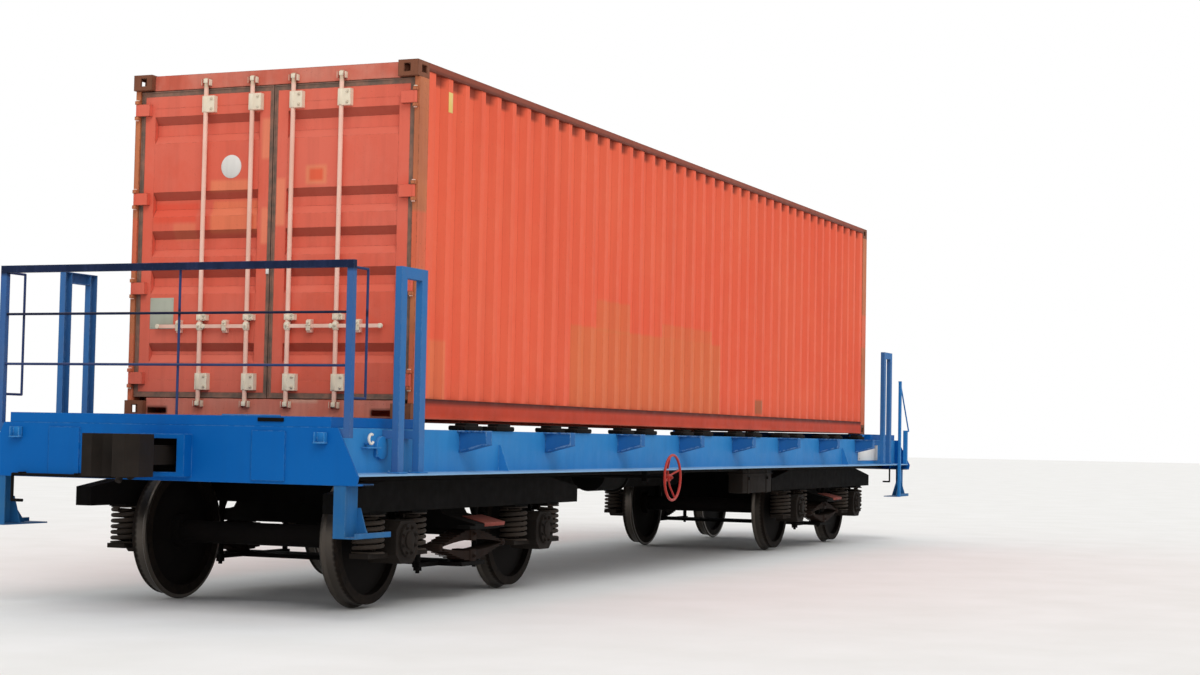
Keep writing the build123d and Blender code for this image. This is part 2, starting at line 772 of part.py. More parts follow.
def outrigger(x):
    """Near side bracket: a tapered box of two webs, a sloping foot plate and a top plate."""
    root = SILL_TOP - OUTRIGGER_ROOT
    tip = SILL_TOP - OUTRIGGER_TIP
    under = SILL_TOP - OUTRIGGER_PLATE
    bite = OUTRIGGER_PLATE / 2
    cheek = [
        (-SILL_WEB_Y, root - bite),
        (-OUTRIGGER_Y, tip - bite),
        (-OUTRIGGER_Y, under + bite),
        (-SILL_WEB_Y, under + bite),
    ]
    foot = [
        (-SILL_WEB_Y, root),
        (-SILL_WEB_Y, root - OUTRIGGER_PLATE),
        (-OUTRIGGER_Y, tip - OUTRIGGER_PLATE),
        (-OUTRIGGER_Y, tip),
    ]
    half = OUTRIGGER_W / 2
    top = [
        (x - ROOT_PLATE_W / 2, -SILL_WEB_Y),
        (x - half - 8, -SILL_WEB_Y - 90),
        (x - half - 8, -OUTRIGGER_Y),
        (x + half + 8, -OUTRIGGER_Y),
        (x + half + 8, -SILL_WEB_Y - 90),
        (x + ROOT_PLATE_W / 2, -SILL_WEB_Y),
    ]
    end_y = (-OUTRIGGER_Y, -OUTRIGGER_Y + OUTRIGGER_PLATE)
    pieces = [
        prism(cheek, x - half, x - half + OUTRIGGER_PLATE, "X"),
        prism(cheek, x + half - OUTRIGGER_PLATE, x + half, "X"),
        prism(foot, x - half - 8, x + half + 8, "X"),
        prism(top, under, SILL_TOP, "Z"),
        block((x - half, x + half), end_y, (tip - bite, under + bite)),
    ]
    return join(pieces)


def side_guard():
    """Near front guard: an upturned U of channel that stands on the sill's foot flange."""
    outer = -GUARD_Y - GUARD_D / 2
    inner = -GUARD_Y + GUARD_D / 2
    foot = SILL_BOTTOM + FLANGE_PLATE
    pieces = []
    for x0, x1 in ((GUARD_X0, GUARD_X0 + GUARD_W), (GUARD_X1 - GUARD_W, GUARD_X1)):
        pieces.append(block((x0, x1), (outer, outer + GUARD_T), (foot, GUARD_TOP)))
        pieces.append(block((x0, x0 + GUARD_T), (outer + GUARD_T, inner), (foot, GUARD_TOP)))
        pieces.append(block((x1 - GUARD_T, x1), (outer + GUARD_T, inner), (foot, GUARD_TOP)))
        pieces.append(block((x0, x1), (inner, -SILL_WEB_Y), (STAY_Z, STAY_Z + STAY_H)))
    span = (GUARD_X0, GUARD_X1)
    low = GUARD_TOP - GUARD_W
    pieces.append(block(span, (outer, outer + GUARD_T), (low, GUARD_TOP)))
    pieces.append(block(span, (outer, inner), (GUARD_TOP - GUARD_T, GUARD_TOP)))
    gap = (GUARD_X0 + GUARD_W, GUARD_X1 - GUARD_W)
    pieces.append(block(gap, (outer, inner), (low, low + GUARD_T)))
    return join(pieces)


def rail_frame():
    """Rear railing, drawn at the front: angle posts on stays from the sills, and the top rail."""
    half = RAIL_ANGLE / 2
    x = (RAIL_X - RAIL_DEPTH / 2, RAIL_X + RAIL_DEPTH / 2)
    pieces = [block(x, (-RAIL_Y - half, RAIL_Y + half), (RAIL_TOP - RAIL_ANGLE, RAIL_TOP))]
    for side in (-1, 1):
        y = (side * RAIL_Y - half, side * RAIL_Y + half)
        pieces.append(block(x, y, (RAIL_FOOT, RAIL_TOP)))
        foot_y = sorted((side * SILL_WEB_Y, side * RAIL_Y))
        pieces.append(block(x, foot_y, (RAIL_FOOT, RAIL_FOOT + STAY_H)))
    return join(pieces)


def rail_rods():
    """Thin rods of the rear railing: two from post to post and one upright beside them."""
    reach = RAIL_Y - RAIL_ANGLE / 2
    rods = [rod((RAIL_X, -reach, z), (RAIL_X, reach, z), ROD_R) for z in ROD_Z]
    x = RAIL_X - 2 * ROD_R - SEAT_GAP
    rods.append(rod((x, ROD_Y, DECK_Z), (x, ROD_Y, RAIL_TOP - RAIL_ANGLE), ROD_R))
    return rods


def hand_loop():
    """Near grab rail, bent out from the railing's post."""
    start = RAIL_X - RAIL_DEPTH / 2
    low, high = LOOP_Z
    x = start - LOOP_OUT
    pieces = [
        rod((start, -RAIL_Y, high), (x, -RAIL_Y, high), ROD_R),
        rod((x, -RAIL_Y, high), (x, -RAIL_Y, low), ROD_R),
        rod((x, -RAIL_Y, low), (start, -RAIL_Y, low), ROD_R),
        Pos(x, -RAIL_Y, high) * Sphere(ROD_R),
        Pos(x, -RAIL_Y, low) * Sphere(ROD_R),
    ]
    return join(pieces)


def angle_post(x, y, z, size):
    """An angle that stands with one leg along X on its outer side and one leg across."""
    return join([
        block((x, x + size), (-y, -y + GRAB_T), z),
        block((x, x + GRAB_T), (-y, -y + size), z),
    ])


def grab_post():
    """Near front grab post that rises from the step's edge, and its slanting handrail."""
    tread_edge = STEP_TREAD_Y1
    post = angle_post(GRAB_X, GRAB_Y, (STEP_Z, GRAB_TOP), GRAB_Y - tread_edge)
    face = block((GRAB_X, GRAB_X + GRAB_ANGLE), (-GRAB_Y, -GRAB_Y + GRAB_T), (STEP_Z, GRAB_TOP))
    sill_z = (SILL_BOTTOM, SILL_BOTTOM + FLANGE_PLATE)
    stay = block((GRAB_X, GRAB_X + GRAB_ANGLE), (-GRAB_Y, -SILL_FLANGE_Y), sill_z)
    foot = SILL_BOTTOM + FLANGE_PLATE
    stub = angle_post(STUB_X, tread_edge, (foot, STUB_TOP), GRAB_ANGLE)
    y = -tread_edge - ROD_R / 2
    high = GRAB_TOP - ROD_R
    low = STUB_TOP - ROD_R
    path = [
        (GRAB_X + GRAB_T / 2, y, high),
        (GRAB_X + HANDRAIL_BEND, y, high),
        (STUB_X + HANDRAIL_BEND, y, low),
        (STUB_X + GRAB_T / 2, y, low),
    ]
    rail = [rod(start, end, ROD_R) for start, end in zip(path, path[1:])]
    bends = [Pos(*point) * Sphere(ROD_R) for point in path[1:-1]]
    return join([post, face, stay, stub, *rail, *bends])


def corner_step(tread_l):
    """Near front step: an angle hung under the headstock, a gusset and a lipped tread."""
    hang_z = (STEP_Z + STEP_T, HEAD_Z)
    outer = -STEP_Y - STEP_T
    gusset = [
        (STEP_X0, STEP_Z + STEP_T),
        (STEP_X0 - STEP_GUSSET_L, STEP_Z + STEP_T),
        (STEP_X0, STEP_Z + STEP_GUSSET_H),
    ]
    tread_x = (STEP_X1 - tread_l, STEP_X1)
    tread_y = (-STEP_TREAD_Y1, -STEP_TREAD_Y0)
    pieces = [
        block((STEP_X0, STEP_X1), (outer, -STEP_Y), hang_z),
        block((STEP_X1 - STEP_T, STEP_X1), (-STEP_Y, -STEP_TREAD_Y0), hang_z),
        prism(gusset, outer, -STEP_Y, "Y"),
        block(tread_x, tread_y, (STEP_Z, STEP_Z + STEP_T)),
        block(tread_x, (-STEP_TREAD_Y1, -STEP_TREAD_Y1 + STEP_T), (STEP_Z, STEP_Z + STEP_LIP)),
    ]
    return join(pieces)


def coupler():
    """Front automatic coupler: clawed head, shank and the draft gear block behind it."""
    head = [
        (-CLAW_BACK, -SHANK / 2),
        (-170, -185),
        (-40, -215),
        (70, -205),
        (80, -120),
        (0, -92),
        (-55, -30),
        (-40, 62),
        (60, 88),
        (120, 70),
        (130, 175),
        (40, 225),
        (-160, 195),
        (-CLAW_BACK, SHANK / 2),
    ]
    outline = [(COUPLER_X + a, b) for a, b in head]
    claws = prism(outline, COUPLER_Z - HEAD_H / 2, COUPLER_Z + HEAD_H / 2, "Z")
    shank_z = (COUPLER_Z - SHANK / 2, COUPLER_Z + SHANK / 2)
    shank = block((DRAFT_X1, COUPLER_X - CLAW_BACK), (-SHANK / 2, SHANK / 2), shank_z)
    inner = CENTER_Y - PLATE
    draft_z = (COUPLER_Z - DRAFT_H / 2, COUPLER_Z + DRAFT_H / 2)
    draft = block((DRAFT_X0, DRAFT_X1), (-inner, inner), draft_z)
    return join([claws, shank, draft])


def pedestal():
    """Near front container seat: a block on the sill with a locating stub in the casting."""
    x = SEAT_X
    y = -CONT_Y + SLOT_Y
    base = block((x - 75, x + 75), (y - 95, y + 60), (SILL_TOP, CONT_Z))
    stub = block((x - 45, x + 45), (y - 24, y + 24), (CONT_Z, CONT_Z + CAST_WALL + 8))
    return join([base, stub])


def pedestal_bridge():
    """Near front bearer under a container seat, from cross beam height to the sill's top flange."""
    x = SEAT_X
    return block((x - 60, x + 60), (-SILL_TOP_FLANGE_Y, -CENTER_Y), (CENTER_TOP - CROSS_BEAM_H, SILL_TOP))


# Brake gear of the car body


def brake_cylinder():
    """Cylinder with dished ends, hung from the centre sill by a bracket."""
    x0 = CYLINDER_X - CYLINDER_L / 2
    x1 = CYLINDER_X + CYLINDER_L / 2
    shell = rod((x0, CYLINDER_Y, CYLINDER_Z), (x1, CYLINDER_Y, CYLINDER_Z), CYLINDER_R)
    flange = rod((x1, CYLINDER_Y, CYLINDER_Z), (x1 + 25, CYLINDER_Y, CYLINDER_Z), CYLINDER_R + 18)
    push_x = x1 + 25 + PUSH_ROD_L
    push = rod((x1 + 25, CYLINDER_Y, CYLINDER_Z), (push_x, CYLINDER_Y, CYLINDER_Z), 28)
    bracket = block((x0 + 120, x1 - 120), (CYLINDER_Y, -CENTER_Y), (CYLINDER_Z - 12, CYLINDER_Z + 12))
    return join([shell, flange, push, bracket])


def air_reservoir():
    x0 = RESERVOIR_X - RESERVOIR_L / 2
    x1 = RESERVOIR_X + RESERVOIR_L / 2
    shell = rod((x0, RESERVOIR_Y, RESERVOIR_Z), (x1, RESERVOIR_Y, RESERVOIR_Z), RESERVOIR_R)
    ends = [edge for edge in shell.edges() if edge.geom_type == GeomType.CIRCLE]
    shell = fillet(ends, 60)
    straps = []
    for x in (x0 + STRAP_IN, x1 - STRAP_IN):
        straps.append(block((x - 30, x + 30), (CENTER_Y, RESERVOIR_Y), (RESERVOIR_Z - 15, RESERVOIR_Z + 15)))
    return join([shell, *straps])


def hand_wheel():
    """Hand wheel with spokes, square to a shaft that runs in to the centre sill."""
    center = (HAND_WHEEL_X, -HAND_WHEEL_Y, HAND_WHEEL_Z)
    rim_plane = Plane(origin=center, z_dir=(0, 1, 0))
    rim = rim_plane * Torus(HAND_WHEEL_R, HAND_RIM_R)
    hub_back = (HAND_WHEEL_X, HAND_HUB_T / 2 - HAND_WHEEL_Y, HAND_WHEEL_Z)
    hub = rod((HAND_WHEEL_X, -HAND_WHEEL_Y - HAND_RIM_R, HAND_WHEEL_Z), hub_back, HAND_HUB_R)
    spokes = []
    for n in range(HAND_SPOKES):
        angle = math.radians(360 * n / HAND_SPOKES + 20)
        tip_x = HAND_WHEEL_X + HAND_WHEEL_R * math.cos(angle)
        tip_z = HAND_WHEEL_Z + HAND_WHEEL_R * math.sin(angle)
        spokes.append(rod(center, (tip_x, -HAND_WHEEL_Y, tip_z), HAND_SPOKE_R))
    return join([rim, hub, *spokes])


def hand_shaft():
    start = (HAND_WHEEL_X, HAND_HUB_T / 2 - HAND_WHEEL_Y, HAND_WHEEL_Z)
    shaft = rod(start, (HAND_WHEEL_X, -CENTER_Y, HAND_WHEEL_Z), SHAFT_R)
    hanger_y = (-SILL_WEB_Y + 40, -SILL_WEB_Y + 90)
    hanger = block((HAND_WHEEL_X - 30, HAND_WHEEL_X + 30), hanger_y, (HAND_WHEEL_Z - 40, SILL_BOTTOM))
    return join([shaft, hanger])


# Container


def casting():
    """Near front top corner casting: a hollow block with slotted and oblong openings."""
    x = (CONT_X - CAST_L, CONT_X)
    y = (-CONT_Y, -CONT_Y + CAST_W)
    z = (CONT_TOP - CAST_H, CONT_TOP)
    wall = CAST_WALL
    hollow = block((x[0] + wall, x[1] - wall), (y[0] + wall, y[1] - wall), (z[0] + wall, z[1] - wall))
    slot_x = CONT_X - SLOT_X
    slot_y = -CONT_Y + SLOT_Y
    slot_face = Pos(slot_x, slot_y, z[1] - wall - 1) * SlotOverall(SLOT_L, SLOT_W)
    slot = extrude(slot_face, amount=wall + 2, dir=(0, 0, 1))
    end_hole = block((x[1] - wall - 1, x[1] + 1), (slot_y - 26, slot_y + 26), (z[1] - 86, z[1] - 26))
    side_hole = block((slot_x - 40, slot_x + 40), (y[0] - 1, y[0] + wall + 1), (z[1] - 84, z[1] - 30))
    return block(x, y, z) - hollow - slot - end_hole - side_hole


def castings():
    top = casting()
    low = mirror(top, about=Plane(origin=(0, 0, (CONT_Z + CONT_TOP) / 2), z_dir=(0, 0, 1)))
    return both_ends(both_sides([top, low]))


def wave(start, end, pitch, slope, depth):
    """One trapezoid wave line from start to end, as (along, height) pairs, ending on its crest."""
    count = int((end - start - pitch / 2) // pitch)
    flat = (pitch - 2 * slope) / 2
    margin = (end - start - count * pitch) / 2
    line = [(start, 0)]
    for n in range(count):
        a = start + margin + n * pitch + flat / 2
        line.append((a, 0))
        line.append((a + slope, -depth))
        line.append((a + slope + flat, -depth))
        line.append((a + 2 * slope + flat, 0))
    line.append((end, 0))
    return line


def sheet(line, thickness):
    """A closed outline of even depth below a wave line."""
    return [*line, *[(a, h - thickness) for a, h in reversed(line)]]


def side_panel():
    """Near side corrugated wall."""
    line = wave(-CAST_IN_X, CAST_IN_X, WAVE_PITCH, WAVE_SLOPE, WAVE_DEPTH)
    outer = -CONT_Y + SIDE_INSET
    outline = [(a, outer - h) for a, h in sheet(line, SHEET)]
    return prism(outline, PANEL_Z0, PANEL_Z1, "Z")


def roof_panel():
    edge = CONT_Y - TOP_RAIL
    line = wave(-CAST_IN_X, CAST_IN_X, ROOF_PITCH, ROOF_SLOPE, ROOF_DEPTH)
    outline = [(a, CONT_TOP - SIDE_INSET + h) for a, h in sheet(line, SHEET)]
    return prism(outline, -edge, edge, "Y")


def front_panel():
    edge = CONT_Y - FRONT_POST_Y
    line = wave(-edge, edge, FRONT_PITCH, FRONT_SLOPE, FRONT_DEPTH)
    outline = [(CONT_X - SIDE_INSET + h, a) for a, h in sheet(line, SHEET)]
    return prism(outline, DOOR_Z0, DOOR_Z1, "Z")


def front_post():
    """Near front corner post, a plain angle between the castings."""
    outline = [
        (CONT_X, -CONT_Y),
        (CONT_X, -CONT_Y + FRONT_POST_Y),
        (CONT_X - POST_T, -CONT_Y + FRONT_POST_Y),
        (CONT_X - POST_T, -CONT_Y + POST_T),
        (CAST_IN_X, -CONT_Y + POST_T),
        (CAST_IN_X, -CONT_Y),
    ]
    return prism(outline, POST_Z0, POST_Z1, "Z")


def door_post():
    """Near rear corner post, a channel whose narrow face carries the hinge lugs."""
    side = -CONT_Y
    face = -POST_X
    outline = [
        (face, side),
        (face, side + POST_FACE),
        (face + 100, side + POST_FACE),
        (face + 100, side + POST_FACE - POST_T),
        (face + POST_T, side + POST_FACE - POST_T),
        (face + POST_T, side + POST_T),
        (-CAST_IN_X, side + POST_T),
        (-CAST_IN_X, side),
    ]
    post = prism(outline, POST_Z0, POST_Z1, "Z")
    lugs = []
    for z in hinge_heights():
        for low in (z - KNUCKLE_L / 2 - LUG_L - 1, z + KNUCKLE_L / 2 + 1):
            lugs.append(
                block((-CONT_X + 4, face), (-PIN_Y - 15, -PIN_Y + 15), (low, low + LUG_L))
            )
        low = z - KNUCKLE_L / 2 - LUG_L - 1
        lugs.append(rod((-PIN_X, -PIN_Y, low), (-PIN_X, -PIN_Y, z + KNUCKLE_L / 2 + 1 + LUG_L), PIN_R))
    return join([post, *lugs])


def hinge_heights():
    return [LEAF_Z1 - HINGE_DROP - n * HINGE_PITCH for n in range(HINGES)]


def hollow_beam(x, y, z, wall, open_x):
    """A beam across the car of thin plate, open on the side that faces open_x."""
    outer = block(x, y, z)
    inner_x = (x[0] + wall, x[1] + 1) if open_x > 0 else (x[0] - 1, x[1] - wall)
    inner = block(inner_x, y, (z[0] + wall, z[1] - wall))
    return outer - inner


def door_end_frame():
    """Header and sill between the rear castings, with the keepers for the lock bars."""
    x = (-LEAF_X - 2, -CAST_IN_X)
    y = (-CAST_IN_Y, CAST_IN_Y)
    header = hollow_beam(x, y, (DOOR_Z1, CONT_TOP - SIDE_INSET), RAIL_SHEET, 1)
    sill = hollow_beam(x, y, (CONT_Z + FLOOR_RISE, DOOR_Z0), RAIL_SHEET, 1)
    pockets = []
    for side in (-1, 1):
        pocket_y = sorted((side * 880, side * 1040))
        pockets.append(block((x[0] - 1, x[0] + 10), pocket_y, (CONT_Z + 26, CONT_Z + 66)))
    sill = sill - join(pockets)
    frames = []
    for beam, edge, way in ((header, DOOR_Z1, 1), (sill, DOOR_Z0, -1)):
        keepers = []
        for bar in [side * y for side in (-1, 1) for y in BAR_Y]:
            for cheek in (-1, 1):
                start = bar + cheek * (BAR_R + KEEPER_GAP)
                cheek_y = sorted((start, start + cheek * KEEPER_T))
                cheek_z = sorted((edge + way * 15, edge + way * (15 + KEEPER_H)))
                keepers.append(block((-CONT_X + 8, x[0]), cheek_y, cheek_z))
        frames.append(join([beam, *keepers]))
    return frames


def front_end_frame():
    x = (CAST_IN_X, CONT_X - 4)
    y = (-CAST_IN_Y, CAST_IN_Y)
    header = hollow_beam(x, y, (DOOR_Z1, CONT_TOP - SIDE_INSET), RAIL_SHEET, -1)
    sill = hollow_beam(x, y, (CONT_Z + FLOOR_RISE, DOOR_Z0), RAIL_SHEET, -1)
    return [header, sill]


def top_rail():
    x = (-CAST_IN_X, CAST_IN_X)
    wall = RAIL_SHEET
    outer = block(x, (-CONT_Y, -CONT_Y + TOP_RAIL), (PANEL_Z1, CONT_TOP))
    inner = block(x, (-CONT_Y + wall, -CONT_Y + TOP_RAIL - wall), (PANEL_Z1 + wall, CONT_TOP - wall))
    return outer - inner


def bottom_rail():
    """Near side bottom rail, a channel that opens inwards."""
    x = (-CAST_IN_X, CAST_IN_X)
    z = (CONT_Z + FLOOR_RISE, PANEL_Z0)
    wall = RAIL_SHEET
    outer = block(x, (-CONT_Y, -CONT_Y + 50), z)
    inner = block(x, (-CONT_Y + wall, -CONT_Y + 50), (z[0] + wall, z[1] - wall))
    return outer - inner


def floor_members():
    """Channels across the container under its floor."""
    y = (-CONT_Y + RAIL_SHEET, CONT_Y - RAIL_SHEET)
    z = (CONT_Z + FLOOR_RISE + RAIL_SHEET, DOOR_Z0 - FLOOR_T)
    wall = CROSS_MEMBER_T
    members = []
    for n in range(CROSS_MEMBERS):
        x = -CAST_IN_X + 2 * CAST_IN_X * (n + 0.5) / CROSS_MEMBERS
        outer = block((x, x + CROSS_MEMBER_W), y, z)
        inner = block((x + wall, x + CROSS_MEMBER_W), y, (z[0] + wall, z[1] - wall))
        members.append(outer - inner)
    return members


def container_floor():
    edge = CONT_Y - 50
    return block((-CAST_IN_X, CAST_IN_X), (-edge, edge), (DOOR_Z0 - FLOOR_T, DOOR_Z0))


def door_leaf():
    """Near leaf: hollow edge members round a sheet pressed into horizontal recesses."""
    x0 = -LEAF_X
    x1 = -LEAF_X + DOOR_T
    edge_y = (-LEAF_Y1, -LEAF_Y0)
    rim = block((x0, x1), edge_y, (LEAF_Z0, LEAF_Z1))
    hole_y = (edge_y[0] + DOOR_MARGIN, edge_y[1] - DOOR_MARGIN)
    rim = rim - block((x0 - 1, x1 + 1), hole_y, (LEAF_Z0 + DOOR_MARGIN, LEAF_Z1 - DOOR_MARGIN))
    line = [(LEAF_Z0 + DOOR_MARGIN, x0)]
    for drop, height in reversed(RECESSES):
        top = LEAF_Z1 - drop
        line.append((top - height, x0))
        line.append((top - height + RECESS_SLOPE, x0 + RECESS_DEPTH))
        line.append((top - RECESS_SLOPE, x0 + RECESS_DEPTH))
        line.append((top, x0))
    line.append((LEAF_Z1 - DOOR_MARGIN, x0))
    outline = [*[(x, z) for z, x in line], *[(x + SHEET, z) for z, x in reversed(line)]]
    panel = prism(outline, hole_y[0], hole_y[1], "Y")
    blades = []
    for z in hinge_heights():
        blade_z = (z - KNUCKLE_L / 2, z + KNUCKLE_L / 2)
        blades.append(rod((-PIN_X, -PIN_Y, blade_z[0]), (-PIN_X, -PIN_Y, blade_z[1]), KNUCKLE_R))
        blades.append(block((-PIN_X - 10, -PIN_X + 10), (-PIN_Y, -LEAF_Y1 + 60), blade_z))
        blades.append(block((-PIN_X + 10, x0), (-LEAF_Y1 + 5, -LEAF_Y1 + 60), blade_z))
    leaf = join([rim, panel, *blades])
    for z in hinge_heights():
        leaf = leaf - rod((-PIN_X, -PIN_Y, z - KNUCKLE_L), (-PIN_X, -PIN_Y, z + KNUCKLE_L), PIN_R + RUNNING_FIT)
    return leaf


def door_gasket():
    """Rubber strip round the near leaf."""
    x = (-LEAF_X, -LEAF_X + GASKET_T)
    outer_y = (-CONT_Y + POST_FACE + DOOR_GAP, -MEET_GAP)
    outer_z = (LEAF_Z0 - GASKET_W, LEAF_Z1 + GASKET_W)
    return block(x, outer_y, outer_z) - block(
        (x[0] - 1, x[1] + 1), (-LEAF_Y1, -LEAF_Y0), (LEAF_Z0, LEAF_Z1)
    )


def lock_bars(side):
    """A leaf's two lock bars with brackets, guides, handles and catches; side is -1 near, 1 far."""
    brackets = (
        (LEAF_Z0 + BRACKET_DROP, BRACKET_HALF, BRACKET_OUT),
        (LEAF_Z0 + GUIDE_RISE, GUIDE_HALF, GUIDE_OUT),
        (LEAF_Z1 - BRACKET_DROP, BRACKET_HALF, BRACKET_OUT),
    )
    bracket_x = (-CONT_X + BRACKET_FACE, -LEAF_X)
    handle_x = (-BAR_X - 4 - HANDLE_T, -BAR_X - 4)
    handle_z = LEAF_Z0 + HANDLE_RISE
    grip_z = (handle_z - HANDLE_H / 2, handle_z + HANDLE_H / 2)
    catch_z = (handle_z - CATCH_H / 2, handle_z + CATCH_H / 2)
    bars = []
    for y in [side * bar for bar in BAR_Y]:
        pieces = [rod((-BAR_X, y, DOOR_Z0 - BAR_REACH_LOW), (-BAR_X, y, DOOR_Z1 + BAR_REACH), BAR_R)]
        for z, half, out in brackets:
            pieces.append(block(bracket_x, (y - out, y + BRACKET_IN), (z - half, z + half)))
        pieces.append(block(handle_x, sorted((y, y + side * HANDLE_L)), grip_z))
        catch_y = sorted((y + side * CATCH_FROM, y + side * (CATCH_FROM + CATCH_W)))
        pieces.append(block((handle_x[1], -LEAF_X), catch_y, catch_z))
        bars.append(join(pieces))
    return bars


os.makedirs("parts", exist_ok=True)

make_bogie("a", -BOGIE_X)
make_bogie("b", BOGIE_X)

sill = side_sill()
save("side_sill_near", [sill])
save("side_sill_far", [flip_y(sill)])
save("center_sill", [center_sill()])
save("end_beams", both_ends([end_beam()]))
save("body_bolsters", both_ends(both_sides([body_bolster()])))
save("center_plates", both_ends([center_plate()]))
save("cross_beams", both_sides([cross_beam(x) for x in OUTRIGGERS]))
save("end_platforms", both_ends([end_platform()]))
brackets = [outrigger(x) for x in OUTRIGGERS]
save("outriggers_near", brackets)
save("outriggers_far", [flip_y(bracket) for bracket in brackets])
save("side_guards", both_ends(both_sides([side_guard()])))
save("rail_frame", [flip_x(rail_frame())])
save("rail_rods", [flip_x(thin) for thin in rail_rods()])
save("hand_loops", [flip_x(loop) for loop in both_sides([hand_loop()])])
save("grab_posts", both_sides([grab_post()]))
save("corner_steps", both_sides([flip_x(corner_step(STEP_TREAD_L)), corner_step(GRAB_TREAD_L)]))
front_coupler = coupler()
save("couplers", [front_coupler, front_coupler.rotate(Axis.Z, 180)])
save("container_seats", both_ends(both_sides([pedestal()])))
save("seat_bearers", both_ends(both_sides([pedestal_bridge()])))
save("brake_cylinder", [brake_cylinder()])
save("air_reservoir", [air_reservoir()])
save("hand_wheel", [hand_wheel()])
save("hand_shaft", [hand_shaft()])

save("corner_castings", castings())
save("front_posts", both_sides([front_post()]))
save("door_posts", both_sides([door_post()]))
save("door_end_frame", door_end_frame())
save("front_end_frame", front_end_frame())
save("top_side_rails", both_sides([top_rail()]))
save("bottom_side_rails", both_sides([bottom_rail()]))
panel = side_panel()
save("side_panel_near", [panel])
save("side_panel_far", [flip_y(panel)])
save("roof_panel", [roof_panel()])
save("front_panel", [front_panel()])
save("floor_members", floor_members())
save("container_floor", [container_floor()])
leaf = door_leaf()
save("door_right", [leaf])
save("door_left", [flip_y(leaf)])
gasket = door_gasket()
save("door_gasket_right", [gasket])
save("door_gasket_left", [flip_y(gasket)])
save("lock_bars_right", lock_bars(-1))
save("lock_bars_left", lock_bars(1))
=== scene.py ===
# %% [markdown]
# A bogie flatcar that carries a 40 ft freight container.
# The solid parts come from the CAD model; this notebook gives them their finishes and adds the small
# parts that a maker fits last: springs, bolts, door gear, hooks, cocks and plates.
# Everything is in metres, in the CAD model's own frame: +X along the car, +Z up, doors facing -X.

import math

import bmesh
import bpy
from mathutils import Matrix, Vector


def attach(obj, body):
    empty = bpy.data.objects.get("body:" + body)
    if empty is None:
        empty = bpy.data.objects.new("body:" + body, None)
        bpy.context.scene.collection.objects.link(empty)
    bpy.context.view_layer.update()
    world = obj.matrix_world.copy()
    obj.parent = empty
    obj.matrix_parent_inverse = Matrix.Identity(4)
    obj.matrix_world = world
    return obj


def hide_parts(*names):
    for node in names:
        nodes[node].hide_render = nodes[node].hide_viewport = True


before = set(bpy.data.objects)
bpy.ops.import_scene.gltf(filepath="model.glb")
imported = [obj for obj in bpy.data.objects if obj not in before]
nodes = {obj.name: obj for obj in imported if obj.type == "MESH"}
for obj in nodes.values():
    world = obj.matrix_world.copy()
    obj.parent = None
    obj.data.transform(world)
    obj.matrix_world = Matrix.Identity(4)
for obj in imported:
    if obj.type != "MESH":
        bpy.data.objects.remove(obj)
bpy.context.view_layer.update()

# %% [markdown]
# The camera stands about 19 m behind the middle of the car and 8 m out to its side, at eye height. It
# looks along the car, a little upwards, and leans by a degree. Its axes are worked out from those
# angles, because a matrix leaves no doubt about the lean.

# %% Camera
CAMERA_PLACE = Vector((-18.936, -8.031, 1.264))
YAW = math.radians(22.664)
PITCH = math.radians(2.801)
LEAN = 0.0189
LENS_MM, SENSOR_MM = 61.08, 36
FAR_CLIP = 500

ahead = Vector((math.cos(YAW) * math.cos(PITCH), math.sin(YAW) * math.cos(PITCH), math.sin(PITCH)))
level_right = ahead.cross(Vector((0, 0, 1))).normalized()
level_up = level_right.cross(ahead)
right = math.cos(LEAN) * level_right + math.sin(LEAN) * level_up
up = -math.sin(LEAN) * level_right + math.cos(LEAN) * level_up
axes = Matrix((right, up, -ahead)).transposed().to_4x4()

camera = bpy.data.objects.new("camera", bpy.data.cameras.new("camera"))
bpy.context.scene.collection.objects.link(camera)
camera.matrix_world = Matrix.Translation(CAMERA_PLACE) @ axes
camera.data.sensor_width = SENSOR_MM
camera.data.lens = LENS_MM
camera.data.clip_end = FAR_CLIP
bpy.context.scene.camera = camera
print("camera looks along", [round(v, 3) for v in ahead])

# %% [markdown]
# A colour is written as it is read off a screen, in sRGB hex, but shaders work in linear light. One
# function turns the one into the other. Another adds any kind of node with its settings and links, so
# that a material reads like a list of what lies on the surface.

# %% Colours and nodes
def linear(code):
    """An sRGB hex colour as the linear red, green, blue and alpha that a shader expects."""
    parts = [int(code[i:i + 2], 16) / 255 for i in (1, 3, 5)]
    return (*[p / 12.92 if p <= 0.04045 else ((p + 0.055) / 1.055) ** 2.4 for p in parts], 1)


def add(tree, kind, inputs=None, out=0, **settings):
    """Add a node and return one of its outputs, or all of them where `out` is None.

    Inputs maps a socket's name or number to a value or to the output that feeds it.
    """
    node = tree.nodes.new("ShaderNode" + kind)
    for key, value in settings.items():
        setattr(node, key, value)
    for key, value in (inputs or {}).items():
        if isinstance(value, bpy.types.NodeSocket):
            tree.links.new(value, node.inputs[key])
        else:
            node.inputs[key].default_value = value
    return node.outputs if out is None else node.outputs[out]


def blank_material(name):
    """A material with its nodes cleared, and the node tree to fill."""
    material = bpy.data.materials.new(name)
    material.use_nodes = True
    material.node_tree.nodes.clear()
    return material, material.node_tree


print("a middle grey in linear light:", [round(v, 3) for v in linear("#808080")])

# %% [markdown]
# Weather works in patches and in layers. Patches are noise with its middle values stretched, so their
# size and their softness are set apart. A stretch is a range on an axis with a soft edge. Layers lie
# over a ground colour, each as far as its masks and amounts allow.

# %% Patches, stretches and layers
def patches(tree, place, size, low, high, detail=3.0, roughness=0.55, least=0.0, most=1.0):
    """Noise in patches about `size` metres across, stretched to run from `least` to `most`."""
    grain = add(tree, "TexNoise",
                {"Vector": place, "Scale": 1 / size, "Detail": detail, "Roughness": roughness})
    return add(tree, "MapRange", {0: grain, 1: low, 2: high, 3: least, 4: most})


